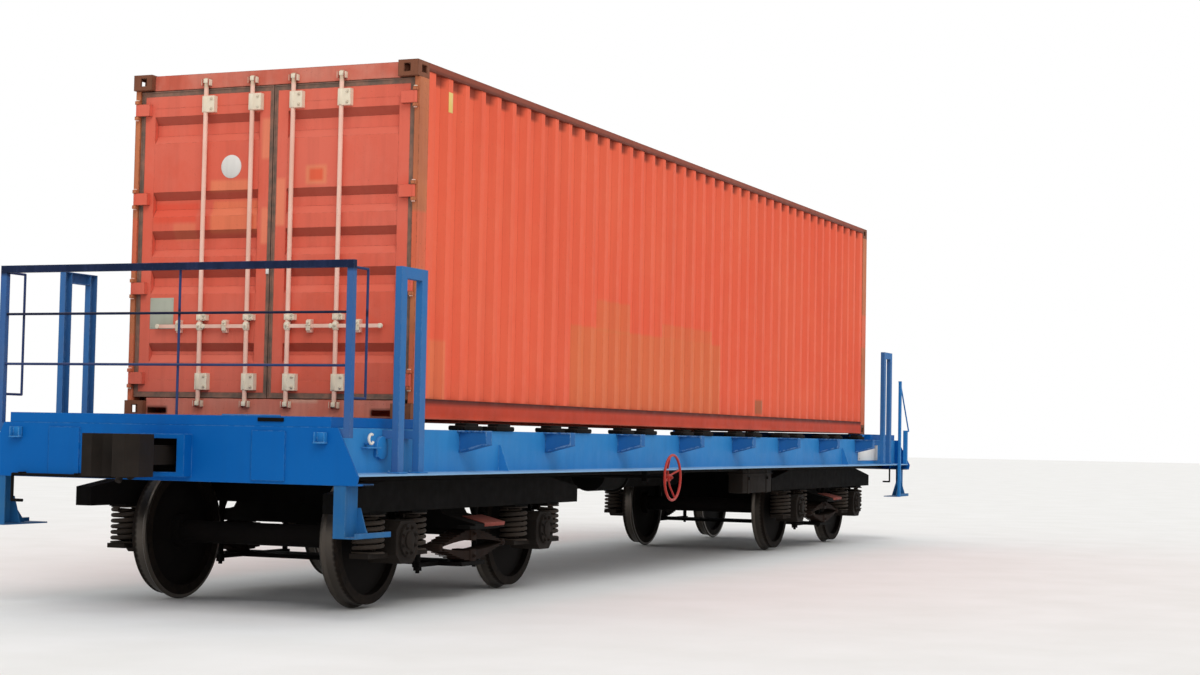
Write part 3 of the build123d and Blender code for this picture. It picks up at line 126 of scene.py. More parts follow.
def between(tree, value, low, high, soft):
    """1 where a value lies between low and high, fading over a soft edge."""
    rise = add(tree, "MapRange", {0: value, 1: low - soft, 2: low + soft})
    fall = add(tree, "MapRange", {0: value, 1: high - soft, 2: high + soft, 3: 1.0, 4: 0.0})
    return add(tree, "Math", {0: rise, 1: fall}, operation="MULTIPLY")


def layered(tree, ground, layers):
    """Lay colours over a ground in turn; return the colour on top and the share of each layer.

    A layer is a hex colour, then the masks and amounts from 0 to 1 whose product is its share.
    """
    color, shares = ground, {}
    for label, (code, share, *others) in layers.items():
        for other in others:
            share = add(tree, "Math", {0: share, 1: other}, operation="MULTIPLY")
        color = add(tree, "Mix", {0: share, 6: color, 7: linear(code)}, out=2, data_type="RGBA")
        shares[label] = share
    return color, shares


print("helpers for masks:", [helper.__name__ for helper in (patches, between, layered)])

# %% [markdown]
# The whole car is out in the weather, so nearly every surface is the same story told in different
# colours: a coat of paint that fades in patches, grime that rain draws down in streaks, dust on what
# faces up, and rust where an edge has been knocked bare. The same recipe also paints shade in the
# colour of the streaks, on what faces down and on what faces along the car, and a painted highlight
# on some edges and tops. One recipe tells it, and each coat of paint gives its own colours and
# amounts. The Bevel node finds the edges, and also rounds them a little in the light, as rolled and
# welded steel is. Tints are stretches with a colour of their own: a marking that was painted over, a
# band of rust, painted shade in a recess or under a rail, and a painted highlight along a lip.

# %% Weathered paint
# Sizes of the patterns in metres. Brush marks and orange peel are finer on the real paint, 2 to 3 mm:
# they are drawn at 7 mm, so that they show at all.
BLOTCH, CLOUD, PIT, PIT_FIELD = 0.22, 0.5, 0.012, 0.35
CHIP, SHEEN, DENT, PEEL = 0.045, 0.09, 0.28, 0.007
STREAK_SCALE = (9.0, 9.0, 0.55)
TINT_SOFT, TINT_SOFT_UP = 0.012, 0.014
BARE_ROUGH = 0.85


def weathered(name, paint, faded, grime_and_shade, rust, *, tone=1.6, patch=0.5, streaks=0.35, chips_and_edge_light=0.5,
              pits=0.3, dust_and_highlight="#8C7C6C", dust_and_highlight_share=0.25, gloss=0.45, shine=0.25, edge=0.006,
              low_grime_and_shade=None, tints=(), shade_facing_down=0.0, shade_facing_along=0.0):
    """Weathered paint: hex colours, a size in metres for the broad tone, and amounts from 0 to 1.

    Tints give an axis, a range on it, a range of heights, a colour and an amount. Shade facing down
    and shade facing along lay painted shade, in the colour of the streaks, on what faces down and on
    what faces along the car.
    """
    material, tree = blank_material(name)
    place = add(tree, "TexCoord", out="Object")
    along = add(tree, "SeparateXYZ", {0: place}, out=None)
    facing = add(tree, "NewGeometry", out="Normal")
    normal = add(tree, "SeparateXYZ", {0: facing}, out=None)
    flat = normal["Z"]

    layers = {"broad tone": (faded, patches(tree, place, tone, 0.35, 0.65), patch),
              "blotches": (faded, patches(tree, place, BLOTCH, 0.48, 0.62, 5.0, 0.6), patch * 0.45)}
    for n, (axis, stretch, heights, code, amount) in enumerate(tints):
        layers[f"tint {n}"] = (code, between(tree, along[axis], *stretch, TINT_SOFT),
                               between(tree, along["Z"], *heights, TINT_SOFT_UP), amount)
    # Painted shade, in the colour of the streaks: on what faces down, and on what faces along the car.
    if shade_facing_down:
        layers["shade_facing_down"] = (grime_and_shade, add(tree, "MapRange", {0: flat, 1: -0.05, 2: -0.30}), shade_facing_down)
    if shade_facing_along:
        endways = add(tree, "Math", {0: normal["X"]}, operation="ABSOLUTE")
        layers["shade_facing_along"] = (grime_and_shade, add(tree, "MapRange", {0: endways, 1: 0.15, 2: 0.40}), shade_facing_along)

    drawn_down = add(tree, "Mapping", {"Vector": place, "Scale": STREAK_SCALE})
    layers["streaks"] = (grime_and_shade, patches(tree, drawn_down, 1.0, 0.46, 0.72, 6.0, 0.62), streaks,
                         add(tree, "MapRange", {0: flat, 1: 0.5, 2: 0.1}))
    # Low grime darkens the foot of a coat: dirt, and on the doors painted shade as well.
    if low_grime_and_shade:
        foot, top, amount = low_grime_and_shade
        layers["low grime"] = (
            grime_and_shade, add(tree, "MapRange", {0: along["Z"], 1: foot, 2: top, 3: amount, 4: 0.0}),
            patches(tree, place, CLOUD, 0.3, 0.7, 4.0, least=0.6, most=1.2))

    rounded = add(tree, "Bevel", {"Radius": edge * 1.6}, samples=4)
    bend = add(tree, "VectorMath", {0: rounded, 1: facing}, out="Value", operation="DOT_PRODUCT")
    worn_and_lit_edges = add(tree, "MapRange", {0: bend, 1: 0.985, 2: 0.86})
    layers["pits"] = (rust, patches(tree, place, PIT, 0.66, 0.72, 2.0),
                      patches(tree, place, PIT_FIELD, 0.42, 0.60), pits)
    # Chips take the rust colour on knocked edges; on the blue paints that colour is a pale blue, partly
    # chalked paint and partly a painted highlight along the edges.
    layers["chips_and_edge_light"] = (rust, worn_and_lit_edges, patches(tree, place, CHIP, 0.44, 0.58, 4.0, 0.7), chips_and_edge_light)
    # What faces up is lighter with dust; on the coil springs that is also a painted highlight on each
    # turn.
    layers["dust_and_highlight"] = (dust_and_highlight, add(tree, "MapRange", {0: flat, 1: 0.35, 2: 0.9}), dust_and_highlight_share)
    color, shares = layered(tree, linear(paint), layers)

    worn = add(tree, "Math", {0: shares["chips_and_edge_light"], 1: shares["pits"]}, operation="MAXIMUM")
    dull = add(tree, "Math", {0: worn, 1: shares["dust_and_highlight"]}, operation="MAXIMUM")
    rough = add(tree, "MapRange", {0: dull, 1: 0.0, 2: 1.0, 3: gloss, 4: BARE_ROUGH})
    uneven = patches(tree, place, SHEEN, 0.3, 0.7, least=-0.06, most=0.08)
    rough = add(tree, "Math", {0: rough, 1: uneven}, operation="ADD")

    bumped = rounded
    dents = add(tree, "TexNoise", {"Vector": place, "Scale": 1 / DENT, "Detail": 2.0, "Roughness": 0.55})
    peel = add(tree, "TexNoise", {"Vector": place, "Scale": 1 / PEEL, "Detail": 3.0, "Roughness": 0.55})
    for strength, depth, relief, inward in ((0.30, 0.012, dents, False), (0.35, 0.0008, peel, False),
                                            (0.5, 0.0010, worn, True)):
        bumped = add(tree, "Bump", {"Strength": strength, "Distance": depth, "Height": relief,
                                    "Normal": bumped}, invert=inward)

    shader = add(tree, "BsdfPrincipled", {"Base Color": color, "Roughness": rough,
                                          "Specular IOR Level": shine, "Normal": bumped})
    add(tree, "OutputMaterial", {"Surface": shader}, out=None)
    return material


print("patterns from", PEEL, "to", CLOUD, "m across, under each paint's own broad tone")

# %% [markdown]
# The container's steel was sprayed with one orange enamel, and each part has aged in its own way. The
# side has gone pale and matt, the door leaves are pinker, the rails and the posts rust along their
# edges, and the castings have lost nearly all their paint.

# %% Paints of the container
AROUND = ("X", (-9.0, 9.0))
DOOR_TINTS = [
    ("Y", (0.020, 0.098), (3.279, 3.580), "#EA8A68", 0.75),
    ("Y", (0.201, 0.539), (3.045, 3.130), "#E8845F", 0.80),
    ("Y", (0.129, 0.533), (2.730, 2.979), "#E57E58", 0.75),
    ("Y", (0.660, 1.040), (2.820, 2.970), "#E24E36", 0.60),
    ("Y", (0.660, 0.860), (2.690, 2.812), "#E07C5A", 0.60),
    ("Y", (0.033, 0.090), (2.646, 2.915), "#EA8A68", 0.70),
    ("Y", (-0.111, -0.034), (2.778, 3.128), "#EA8A68", 0.75),
    ("Y", (-0.458, -0.284), (3.079, 3.217), "#E58C64", 0.65),
    ("Y", (-0.428, -0.314), (3.104, 3.192), "#E2593C", 0.85),
]
SIDE_TINTS = [
    ("X", (-3.170, 0.560), (1.520, 2.210), "#D67B4A", 0.60),
    ("X", (-2.610, -1.900), (2.190, 2.460), "#D67B4A", 0.50),
    ("X", (-1.100, 0.300), (2.200, 2.340), "#D67B4A", 0.50),
    ("X", (-5.830, -5.560), (1.500, 1.950), "#E07A50", 0.70),
    ("X", (1.780, 1.950), (1.540, 1.690), "#8F6A4A", 0.75),
    # The last two are painted shadow at the top of the side's recesses, under the top rail.
    ("Y", (-1.192, -1.100), (3.815, 3.900), "#54261C", 0.65),
    ("Y", (1.100, 1.192), (3.815, 3.900), "#54261C", 0.65),
]
RAIL_TINTS = [
    (*AROUND, (1.400, 1.500), "#B23A26", 0.60),
    # The next two bands are a painted shadow on top of the bottom rail, under the side's overhang.
    (*AROUND, (1.475, 1.530), "#6B2216", 0.80),
    (*AROUND, (1.496, 1.530), "#3A0D06", 0.90),
    (*AROUND, (1.340, 1.372), "#A87060", 0.60),
    (*AROUND, (3.800, 3.960), "#7C4636", 0.85),
    # A thin line of painted shade along the top rail, where the side meets it.
    (*AROUND, (3.890, 3.905), "#3A120B", 0.80),
]
SILL_TINTS = [
    # The first two are painted shade: black inside the two slots in the foot of the door sill.
    ("Y", (0.870, 1.050), (1.376, 1.432), "#030202", 1.0),
    ("Y", (-1.050, -0.870), (1.376, 1.432), "#030202", 1.0),
    ("Y", (-0.430, -0.180), (1.478, 1.496), "#E0B9A0", 0.70),
]
POST_TINTS = [
    (*AROUND, (2.450, 2.860), "#E0674A", 0.75),
    (*AROUND, (1.480, 1.980), "#D9664A", 0.45),
]
# Chalked by the sun, so it is matt and even, with painted shade on what faces down and on the folds that
# face along the car.
side_paint = weathered("faded_orange_container_enamel", "#E96145", "#EC7150", "#A84632", "#7A3E26",
                       streaks=0.20, chips_and_edge_light=0.35, gloss=0.6, shine=0.15, low_grime_and_shade=(1.45, 1.75, 0.18),
                       tints=SIDE_TINTS, shade_facing_down=0.6, shade_facing_along=0.22)
# Touched up by hand: pinkish, with squares of fresher paint. Painted shade darkens what faces down in its
# recesses, and its lower part is darker with dirt and painted shade.
door_paint = weathered("door_orange_enamel", "#DC614B", "#E07865", "#7E3528", "#6E3825",
                       streaks=0.16, chips_and_edge_light=0.5, gloss=0.55, shine=0.15, low_grime_and_shade=(1.45, 2.3, 0.10),
                       tints=DOOR_TINTS, shade_facing_down=0.55)
# Scraped by slings: a deeper red with brown bands, and bands of painted shade under the side's overhangs.
rail_paint = weathered("rusting_rail_enamel", "#C84529", "#BC4128", "#7B3A2A", "#5E3322",
                       tone=0.9, patch=0.6, streaks=0.15, chips_and_edge_light=0.7, pits=0.5, gloss=0.6, shine=0.15,
                       tints=RAIL_TINTS)
# Chalked through to the primer: blotchy and dusty pink.
header_paint = weathered("chalked_door_end_enamel", "#C9604C", "#D28A78", "#7B3A2A", "#5E3322",
                         tone=0.35, patch=0.7, streaks=0.25, chips_and_edge_light=0.8, pits=0.6, gloss=0.6, shine=0.15,
                         tints=SILL_TINTS)
# Rust has come through the whole post and stains it an uneven brown.
post_paint = weathered("rust_brown_post_enamel", "#C4764E", "#B56A4A", "#8A4D38", "#5E3A28",
                       tone=0.5, patch=0.8, streaks=0.35, chips_and_edge_light=0.9, pits=0.9, gloss=0.6, shine=0.15,
                       tints=POST_TINTS)
# Cast steel that twist locks keep scraping: dark, dry rust with a trace of red.
casting_paint = weathered("rusted_corner_casting", "#84543E", "#754734", "#4A3026", "#3E261C",
                          tone=0.2, patch=0.8, streaks=0.3, chips_and_edge_light=0.7, pits=0.8, gloss=0.7, shine=0.15)
print("container paints:", len(bpy.data.materials))

# %% [markdown]
# The car's frame is brushed with a blue alkyd enamel. Its edges go pale and not brown, partly
# chalked paint and partly a painted highlight along each edge, so its "rust" is a light blue. Low and
# inner parts see less light and more dirt, and get a deeper blue of their own.

# %% Paints of the frame
blue_paint = weathered("blue_alkyd_frame_enamel", "#1F72B6", "#2D7FBD", "#27568A", "#7FA8CC",
                       streaks=0.16, chips_and_edge_light=0.65, pits=0.12, dust_and_highlight="#6E8CA8", dust_and_highlight_share=0.35, gloss=0.55,
                       shine=0.10)
# The sill's wide foot is paler where it faces up, and a pale line along its lip is a painted highlight.
sill_paint = weathered("scraped_blue_sill_enamel", "#2A7CBC", "#3886C2", "#27568A", "#7FA8CC",
                       streaks=0.16, chips_and_edge_light=0.65, pits=0.12, dust_and_highlight="#8FB2D2", dust_and_highlight_share=0.6, gloss=0.55,
                       shine=0.10, tints=[(*AROUND, (0.955, 0.984), "#A5C9E6", 0.95)])
outrigger_paint = weathered("shaded_blue_outrigger_enamel", "#205F9E", "#2B6AA6", "#1E4576", "#8FB6DA",
                            streaks=0.14, chips_and_edge_light=0.85, pits=0.12, dust_and_highlight="#5B82AC", dust_and_highlight_share=0.4, gloss=0.55,
                            shine=0.08, edge=0.009)
# The lower edge of each end platform is black with oil.
OILY = ((0.895, 0.931), "#0A0908", 1.0)
deep_blue_paint = weathered("deep_blue_alkyd_enamel", "#0258A3", "#0B60A8", "#14497F", "#5F8FBC",
                            streaks=0.14, chips_and_edge_light=0.45, pits=0.10, dust_and_highlight="#5B7FA3", dust_and_highlight_share=0.3, gloss=0.55,
                            shine=0.08,
                            tints=[("X", (-7.240, -6.000), *OILY), ("X", (6.000, 7.240), *OILY)])
# Chalked and dented by containers: greyer and uneven.
guard_paint = weathered("chalked_blue_guard_enamel", "#2E6CA8", "#41679A", "#45507A", "#7A9CC0",
                        tone=0.8, patch=0.7, streaks=0.25, chips_and_edge_light=0.5, pits=0.3, gloss=0.55, shine=0.10)
# Hand rails are a greyish navy, dulled by gloves, with painted shade on the top bar.
railing_paint = weathered("dull_navy_railing_enamel", "#2C5C98", "#43618F", "#39436B", "#6E8CB4",
                          tone=0.5, patch=0.8, streaks=0.3, chips_and_edge_light=0.4, pits=0.3, gloss=0.6, shine=0.10,
                          tints=[(*AROUND, (2.330, 2.420), "#0F1730", 0.95)])
# The rods and hand loops are a darker copy of the same navy, as painted shade, with a band of deeper
# painted shade.
shaded_rod_paint = weathered("shaded_navy_rod_enamel", "#26365E", "#33426C", "#1E2646", "#5E769E",
                      tone=0.5, patch=0.8, streaks=0.3, chips_and_edge_light=0.3, pits=0.3, gloss=0.6, shine=0.10,
                      tints=[(*AROUND, (2.030, 2.078), "#0D1328", 0.85)])
# Scuffed by boots, so the patches are small and the enamel is thin.
step_paint = weathered("scuffed_blue_step_enamel", "#1D5F99", "#316590", "#20364E", "#5C7C9C",
                       tone=0.3, patch=0.8, streaks=0.3, chips_and_edge_light=0.6, pits=0.4, gloss=0.6, shine=0.10)
print("paints so far:", len(bpy.data.materials))

# %% [markdown]
# Below the frame everything is under brake dust, oil and road dirt, and in deep shade: the black
# paint, the cast steel and the wheels are drawn darker than they are, as painted shade. Black paint,
# cast steel and spring steel differ by little there: the castings are the greyest, the coils palest on
# top, with dust and a painted highlight on each turn, the leaves brown.

# %% Paints of the running gear
# Drawn darker than the parts are, as painted shade under the car.
under_paint = weathered("black_underframe_paint", "#0B0A09", "#13100E", "#080706", "#20160F",
                        streaks=0.3, chips_and_edge_light=0.3, pits=0.4, dust_and_highlight="#2A241F", dust_and_highlight_share=0.4, gloss=0.85,
                        shine=0.10)
cast_paint = weathered("cast_steel_with_brake_dust_and_painted_shade", "#1C1815", "#2A231E", "#110E0C", "#33241A",
                       tone=0.5, patch=0.7, streaks=0.2, chips_and_edge_light=0.3, pits=0.5, dust_and_highlight="#3A3129", dust_and_highlight_share=0.6,
                       gloss=0.8, shine=0.12)
# The pale colour on the top of each turn is dust and a painted highlight.
coil_paint = weathered("coil_spring_steel_with_dust_and_highlights", "#2A241F", "#3A312A", "#171310", "#4A3526",
                       tone=0.2, patch=0.8, streaks=0.1, chips_and_edge_light=0.5, pits=0.5, dust_and_highlight="#5A4F45", dust_and_highlight_share=0.7,
                       gloss=0.7, shine=0.2)
spring_paint = weathered("rust_brown_spring_steel", "#1D1512", "#291C16", "#120E0C", "#3A261A",
                         tone=0.3, patch=0.8, streaks=0.2, chips_and_edge_light=0.6, pits=0.6, dust_and_highlight="#362B23", dust_and_highlight_share=0.4,
                         gloss=0.8, shine=0.12)
# Red lead on the bolster's cover plates, worn through in small patches.
primer_paint = weathered("worn_red_lead_primer", "#7E3A33", "#8E4A40", "#3A1F1A", "#B07A6C",
                         tone=0.12, patch=0.8, chips_and_edge_light=0.8, pits=0.6, dust_and_highlight="#8C5A4C", dust_and_highlight_share=0.3, gloss=0.7,
                         shine=0.12)
print("paints so far:", len(bpy.data.materials))

# %% [markdown]
# The small hardware is galvanised, cast or printed. Zinc goes dull, and takes a pink tinge from the
# orange dust around it; its cast brackets are creamier. Films and plates keep a smoother, cleaner face
# than brushed paint. All are thin, so their edges are softened less than those of the frame.

# %% Finishes of hardware, plates and films
BRACKET_TINTS = [
    (*AROUND, (1.400, 1.490), "#E0CFB4", 0.90),
    (*AROUND, (1.561, 1.685), "#E6DCC4", 0.90),
    (*AROUND, (2.078, 2.122), "#E6DCC4", 0.90),
    (*AROUND, (3.642, 3.766), "#E6DCC4", 0.90),
    (*AROUND, (3.825, 3.910), "#C9B49A", 0.90),
]
zinc_paint = weathered("dull_pinkish_zinc_coating", "#F2C8B6", "#E4B29D", "#A8705C", "#8A4B34",
                       tone=0.4, patch=0.6, streaks=0.15, chips_and_edge_light=0.4, pits=0.3, gloss=0.55, shine=0.2,
                       edge=0.003, tints=BRACKET_TINTS)
cream_paint = weathered("dull_cream_zinc_casting", "#EBE0CA", "#DCC9AE", "#96745E", "#82503A",
                        tone=0.15, patch=0.6, streaks=0.2, chips_and_edge_light=0.5, pits=0.4, gloss=0.55, shine=0.2,
                        edge=0.003)
plate_paint = weathered("dull_aluminium_plate", "#A9AC9A", "#B6B7A8", "#7E7F70", "#82705C",
                        tone=0.15, patch=0.6, streaks=0.2, chips_and_edge_light=0.3, pits=0.2, gloss=0.5, shine=0.2,
                        edge=0.002)
red_paint = weathered("red_handwheel_enamel", "#A9201C", "#B8402F", "#5E1A16", "#5A3022",
                      tone=0.2, patch=0.6, chips_and_edge_light=0.6, pits=0.4, gloss=0.4, edge=0.003)
white_paint = weathered("dusty_white_enamel", "#E6E4DF", "#D6D2CB", "#A79F95", "#7A5238",
                        tone=0.4, patch=0.5, streaks=0.25, chips_and_edge_light=0.5, pits=0.2, gloss=0.5, edge=0.003)
yellow_film = weathered("sun_bleached_yellow_film", "#E3C062", "#E6CD86", "#A98A4C", "#8A6A3C",
                        tone=0.1, patch=0.5, streaks=0.2, chips_and_edge_light=0.2, pits=0.1, gloss=0.4, edge=0.002)
print("paints:", [m.name for m in bpy.data.materials])

# %% [markdown]
# A wheel is forged steel that was never painted. Its tread is polished by the rail, the rim beside it
# is bare and brown, and brake dust turns the web nearly black; the whole wheel is drawn darker still,
# as painted shade under the car. The rings are centred on each axle, so the pattern is worked out from
# the distance to the axle: both bogies and both axles in each are mirror places, and two absolute
# values fold all four onto one.

# %% Wheel steel
AXLE_Z = 0.503
BOGIE_X = 4.785
AXLE_OUT = 1.2
RIM_INSIDE = (0.400, 0.408)
TREAD_EDGE = (0.4722, 0.4735)
SOOT_SIZE, SCALE_SIZE = 0.05, 0.010


def wheel_steel():
    """Forged steel in painted shade: sooty web, brown rim and a bright tread."""
    material, tree = blank_material("forged_wheel_steel")
    place = add(tree, "TexCoord", out="Object")
    along = add(tree, "SeparateXYZ", {0: place}, out=None)
    x = along["X"]
    for middle in (BOGIE_X, AXLE_OUT):
        folded = add(tree, "Math", {0: x}, operation="ABSOLUTE")
        x = add(tree, "Math", {0: folded, 1: middle}, operation="SUBTRACT")
    z = add(tree, "Math", {0: along["Z"], 1: AXLE_Z}, operation="SUBTRACT")
    from_axle = add(tree, "CombineXYZ", {"X": x, "Y": z})
    radius = add(tree, "VectorMath", {0: from_axle}, out="Value", operation="LENGTH")

    soot = add(tree, "TexNoise",
               {"Vector": place, "Scale": 1 / SOOT_SIZE, "Detail": 5.0, "Roughness": 0.65})
    tread = add(tree, "MapRange", {0: radius, 1: TREAD_EDGE[0], 2: TREAD_EDGE[1]})
    color, _ = layered(tree, linear("#0A0908"), {
        "soot": ("#171210", soot),
        "bare rim": ("#241C16", add(tree, "MapRange", {0: radius, 1: RIM_INSIDE[0], 2: RIM_INSIDE[1]}),
                     add(tree, "MapRange", {0: soot, 1: 0.3, 2: 0.7})),
        "polished tread": ("#57514B", tread, 0.85)})
    rough = add(tree, "MapRange", {0: tread, 1: 0.0, 2: 1.0, 3: 0.85, 4: 0.35})
    metal = add(tree, "MapRange", {0: tread, 1: 0.0, 2: 1.0, 3: 0.1, 4: 0.9})
    rounded = add(tree, "Bevel", {"Radius": 0.006}, samples=4)
    scale = add(tree, "TexNoise",
                {"Vector": place, "Scale": 1 / SCALE_SIZE, "Detail": 4.0, "Roughness": 0.55})
    pitted = add(tree, "Bump", {"Strength": 0.4, "Distance": 0.002, "Height": scale, "Normal": rounded})
    shader = add(tree, "BsdfPrincipled", {"Base Color": color, "Roughness": rough, "Metallic": metal,
                                          "Specular IOR Level": 0.12, "Normal": pitted})
    add(tree, "OutputMaterial", {"Surface": shader}, out=None)
    return material


wheel_metal = wheel_steel()
print("wheels:", wheel_metal.name)

# %% [markdown]
# Door seals are black EPDM rubber that has gone brown with rust water. Rubber is matt and soft-edged,
# so it gets a low specular level and a fine bump. The floor is hard plywood: long grain along the
# container, boards about 0.3 m wide, scuffed by trucks.

# %% Rubber and plywood
def seal_rubber():
    """Rubber with brown stains, and pores of 8 mm: coarser than real ones, so that they show."""
    material, tree = blank_material("weathered_epdm_rubber")
    place = add(tree, "TexCoord", out="Object")
    stain = patches(tree, place, 0.11, 0.38, 0.62, 5.0, 0.65)
    color, _ = layered(tree, linear("#64544A"), {"rust water": ("#8A6656", stain)})
    pores = add(tree, "TexNoise", {"Vector": place, "Scale": 1 / 0.008, "Detail": 3.0, "Roughness": 0.55})
    bumped = add(tree, "Bump", {"Strength": 0.4, "Distance": 0.0015, "Height": pores})
    shader = add(tree, "BsdfPrincipled", {"Base Color": color, "Roughness": 0.8,
                                          "Specular IOR Level": 0.3, "Normal": bumped})
    add(tree, "OutputMaterial", {"Surface": shader}, out=None)
    return material


def floor_plywood():
    """Boards of two browns with dark joints, and grain drawn out along them."""
    material, tree = blank_material("scuffed_plywood")
    place = add(tree, "TexCoord", out="Object")
    drawn_out = add(tree, "Mapping", {"Vector": place, "Scale": (1.0, 24.0, 24.0)})
    grain = add(tree, "TexNoise", {"Vector": drawn_out, "Scale": 1 / 0.9, "Detail": 6.0, "Roughness": 0.6})
    boards = add(tree, "TexBrick",
                 {"Vector": place, "Color1": linear("#8A6240"), "Color2": linear("#74502F"),
                  "Mortar": linear("#2B1F16"), "Scale": 1.0, "Mortar Size": 0.004, "Brick Width": 2.4,
                  "Row Height": 0.3})
    dark = add(tree, "MapRange", {0: grain, 1: 0.35, 2: 0.65, 3: 0.0, 4: 0.55})
    color, _ = layered(tree, boards, {"grain": ("#5C3F28", dark)})
    bumped = add(tree, "Bump", {"Strength": 0.3, "Distance": 0.001, "Height": grain})
    shader = add(tree, "BsdfPrincipled", {"Base Color": color, "Roughness": 0.7, "Normal": bumped})
    add(tree, "OutputMaterial", {"Surface": shader}, out=None)
    return material


rubber = seal_rubber()
plywood = floor_plywood()
print("seals:", rubber.name, "floor:", plywood.name)

# %% [markdown]
# Each CAD node gets the finish of the real part. The names begin alike for like parts, so a short table
# of beginnings is enough, and the longest beginning that fits wins.

# %% Finish of each CAD node
FINISHES = {
    "axle_boxes": cast_paint, "coil_springs": under_paint, "bogie_frame": under_paint,
    "bogie_bolster": under_paint, "leaf_springs": spring_paint, "spring_plank": under_paint,
    "brake_rigging": under_paint, "wheelset": wheel_metal, "side_sill": sill_paint,
    "end_beams": deep_blue_paint, "end_platforms": deep_blue_paint, "outriggers": outrigger_paint,
    "side_guards": guard_paint, "rail_frame": railing_paint, "rail_rods": shaded_rod_paint,
    "grab_posts": blue_paint, "hand_loops": shaded_rod_paint, "corner_steps": step_paint,
    "center_sill": under_paint, "body_bolsters": under_paint, "center_plates": cast_paint,
    "cross_beams": under_paint, "seat_bearers": under_paint, "container_seats": blue_paint,
    "couplers": cast_paint, "brake_cylinder": under_paint, "air_reservoir": under_paint,
    "hand_wheel": red_paint, "hand_shaft": under_paint, "corner_castings": casting_paint,
    "front_posts": post_paint, "door_posts": post_paint, "door_end_frame": header_paint,
    "front_end_frame": rail_paint, "top_side_rails": rail_paint, "bottom_side_rails": rail_paint,
    "side_panel": side_paint, "roof_panel": side_paint, "front_panel": side_paint,
    "floor_members": rail_paint, "container_floor": plywood, "door_gasket": rubber,
    "door_right": door_paint, "door_left": door_paint, "lock_bars": zinc_paint,
}

for name, node in nodes.items():
    start = max((key for key in FINISHES if name.startswith(key)), key=len)
    node.data.materials.clear()
    node.data.materials.append(FINISHES[start])
print("finished", len(nodes), "CAD nodes")

# %% [markdown]
# New pieces are modelled with bmesh operators. A few small helpers cover nearly all of them: a bevelled
# bar between two corners, a round pin between two points, and a hexagon bolt with its washer.

# %% Bars, pins and bolts
def edges_at(verts):
    """Each edge at these vertices once, in a fixed order."""
    return list(dict.fromkeys(edge for vert in verts for edge in vert.link_edges))


def soften(bm, edges, width):
    """Bevel edges with a small round."""
    bmesh.ops.bevel(bm, geom=edges, offset=width, offset_type="OFFSET", segments=2, profile=0.5,
                    affect="EDGES", clamp_overlap=True, material=-1)


def bar(bm, x, y, z, soft=0.003):
    """A bevelled bar, given as its ranges along X, Y and Z, each in either order."""
    verts = bmesh.ops.create_cube(bm, size=1.0)["verts"]
    size = [abs(high - low) for low, high in (x, y, z)]
    middle = [(low + high) / 2 for low, high in (x, y, z)]
    bmesh.ops.scale(bm, vec=size, verts=verts)
    bmesh.ops.translate(bm, vec=middle, verts=verts)
    soften(bm, edges_at(verts), min(soft, 0.3 * min(size)))


def pin(bm, start, end, radius, sides=20, soft=0.002, radius_end=None):
    """A round pin or disc between two points, with its rims bevelled."""
    start, end = Vector(start), Vector(end)
    line = end - start
    verts = bmesh.ops.create_cone(bm, cap_ends=True, segments=sides, radius1=radius,
                                  radius2=radius if radius_end is None else radius_end,
                                  depth=line.length)["verts"]
    turn = line.to_track_quat("Z", "Y").to_matrix()
    bmesh.ops.rotate(bm, cent=(0, 0, 0), matrix=turn, verts=verts)
    bmesh.ops.translate(bm, vec=(start + end) / 2, verts=verts)
    if soft:
        rims = [edge for edge in edges_at(verts)
                if len(edge.link_faces) == 2 and max(len(f.verts) for f in edge.link_faces) == sides]
        soften(bm, rims, min(soft, 0.3 * radius, 0.3 * line.length))


def bolt(bm, place, way, size=0.012):
    """A hexagon head on a washer; `way` points out of the surface and `size` is half across the head."""
    place, way = Vector(place), Vector(way).normalized()
    pin(bm, place, place + way * size * 0.25, size * 1.5, sides=14, soft=0.0)
    pin(bm, place + way * size * 0.25, place + way * size * 1.1, size, sides=6, soft=0.0)
    pin(bm, place + way * size * 1.1, place + way * size * 1.6, size * 0.5, sides=8, soft=0.0)


bm = bmesh.new()
bolt(bm, (0, 0, 0), (0, 0, 1))
print("a bolt has", len(bm.faces), "faces")
bm.free()

# %% [markdown]
# Bars are also bent: into a pipe that runs from point to point, and by a spin into a ring or a coil. A
# part that repeats is built once and stamped where it is needed. The last helper turns a finished bmesh
# into an object that rides on a CAD body.

# %% Tubes, rings, patterns and pieces
def tube(bm, path, radius, sides=12):
    """A round bar that runs straight from point to point, with a ball at each bend."""
    for start, end in zip(path, path[1:]):
        pin(bm, start, end, radius, sides=sides, soft=0.0)
    for point in path[1:-1]:
        ball = bmesh.ops.create_uvsphere(bm, u_segments=sides, v_segments=6, radius=radius)["verts"]
        bmesh.ops.translate(bm, vec=point, verts=ball)


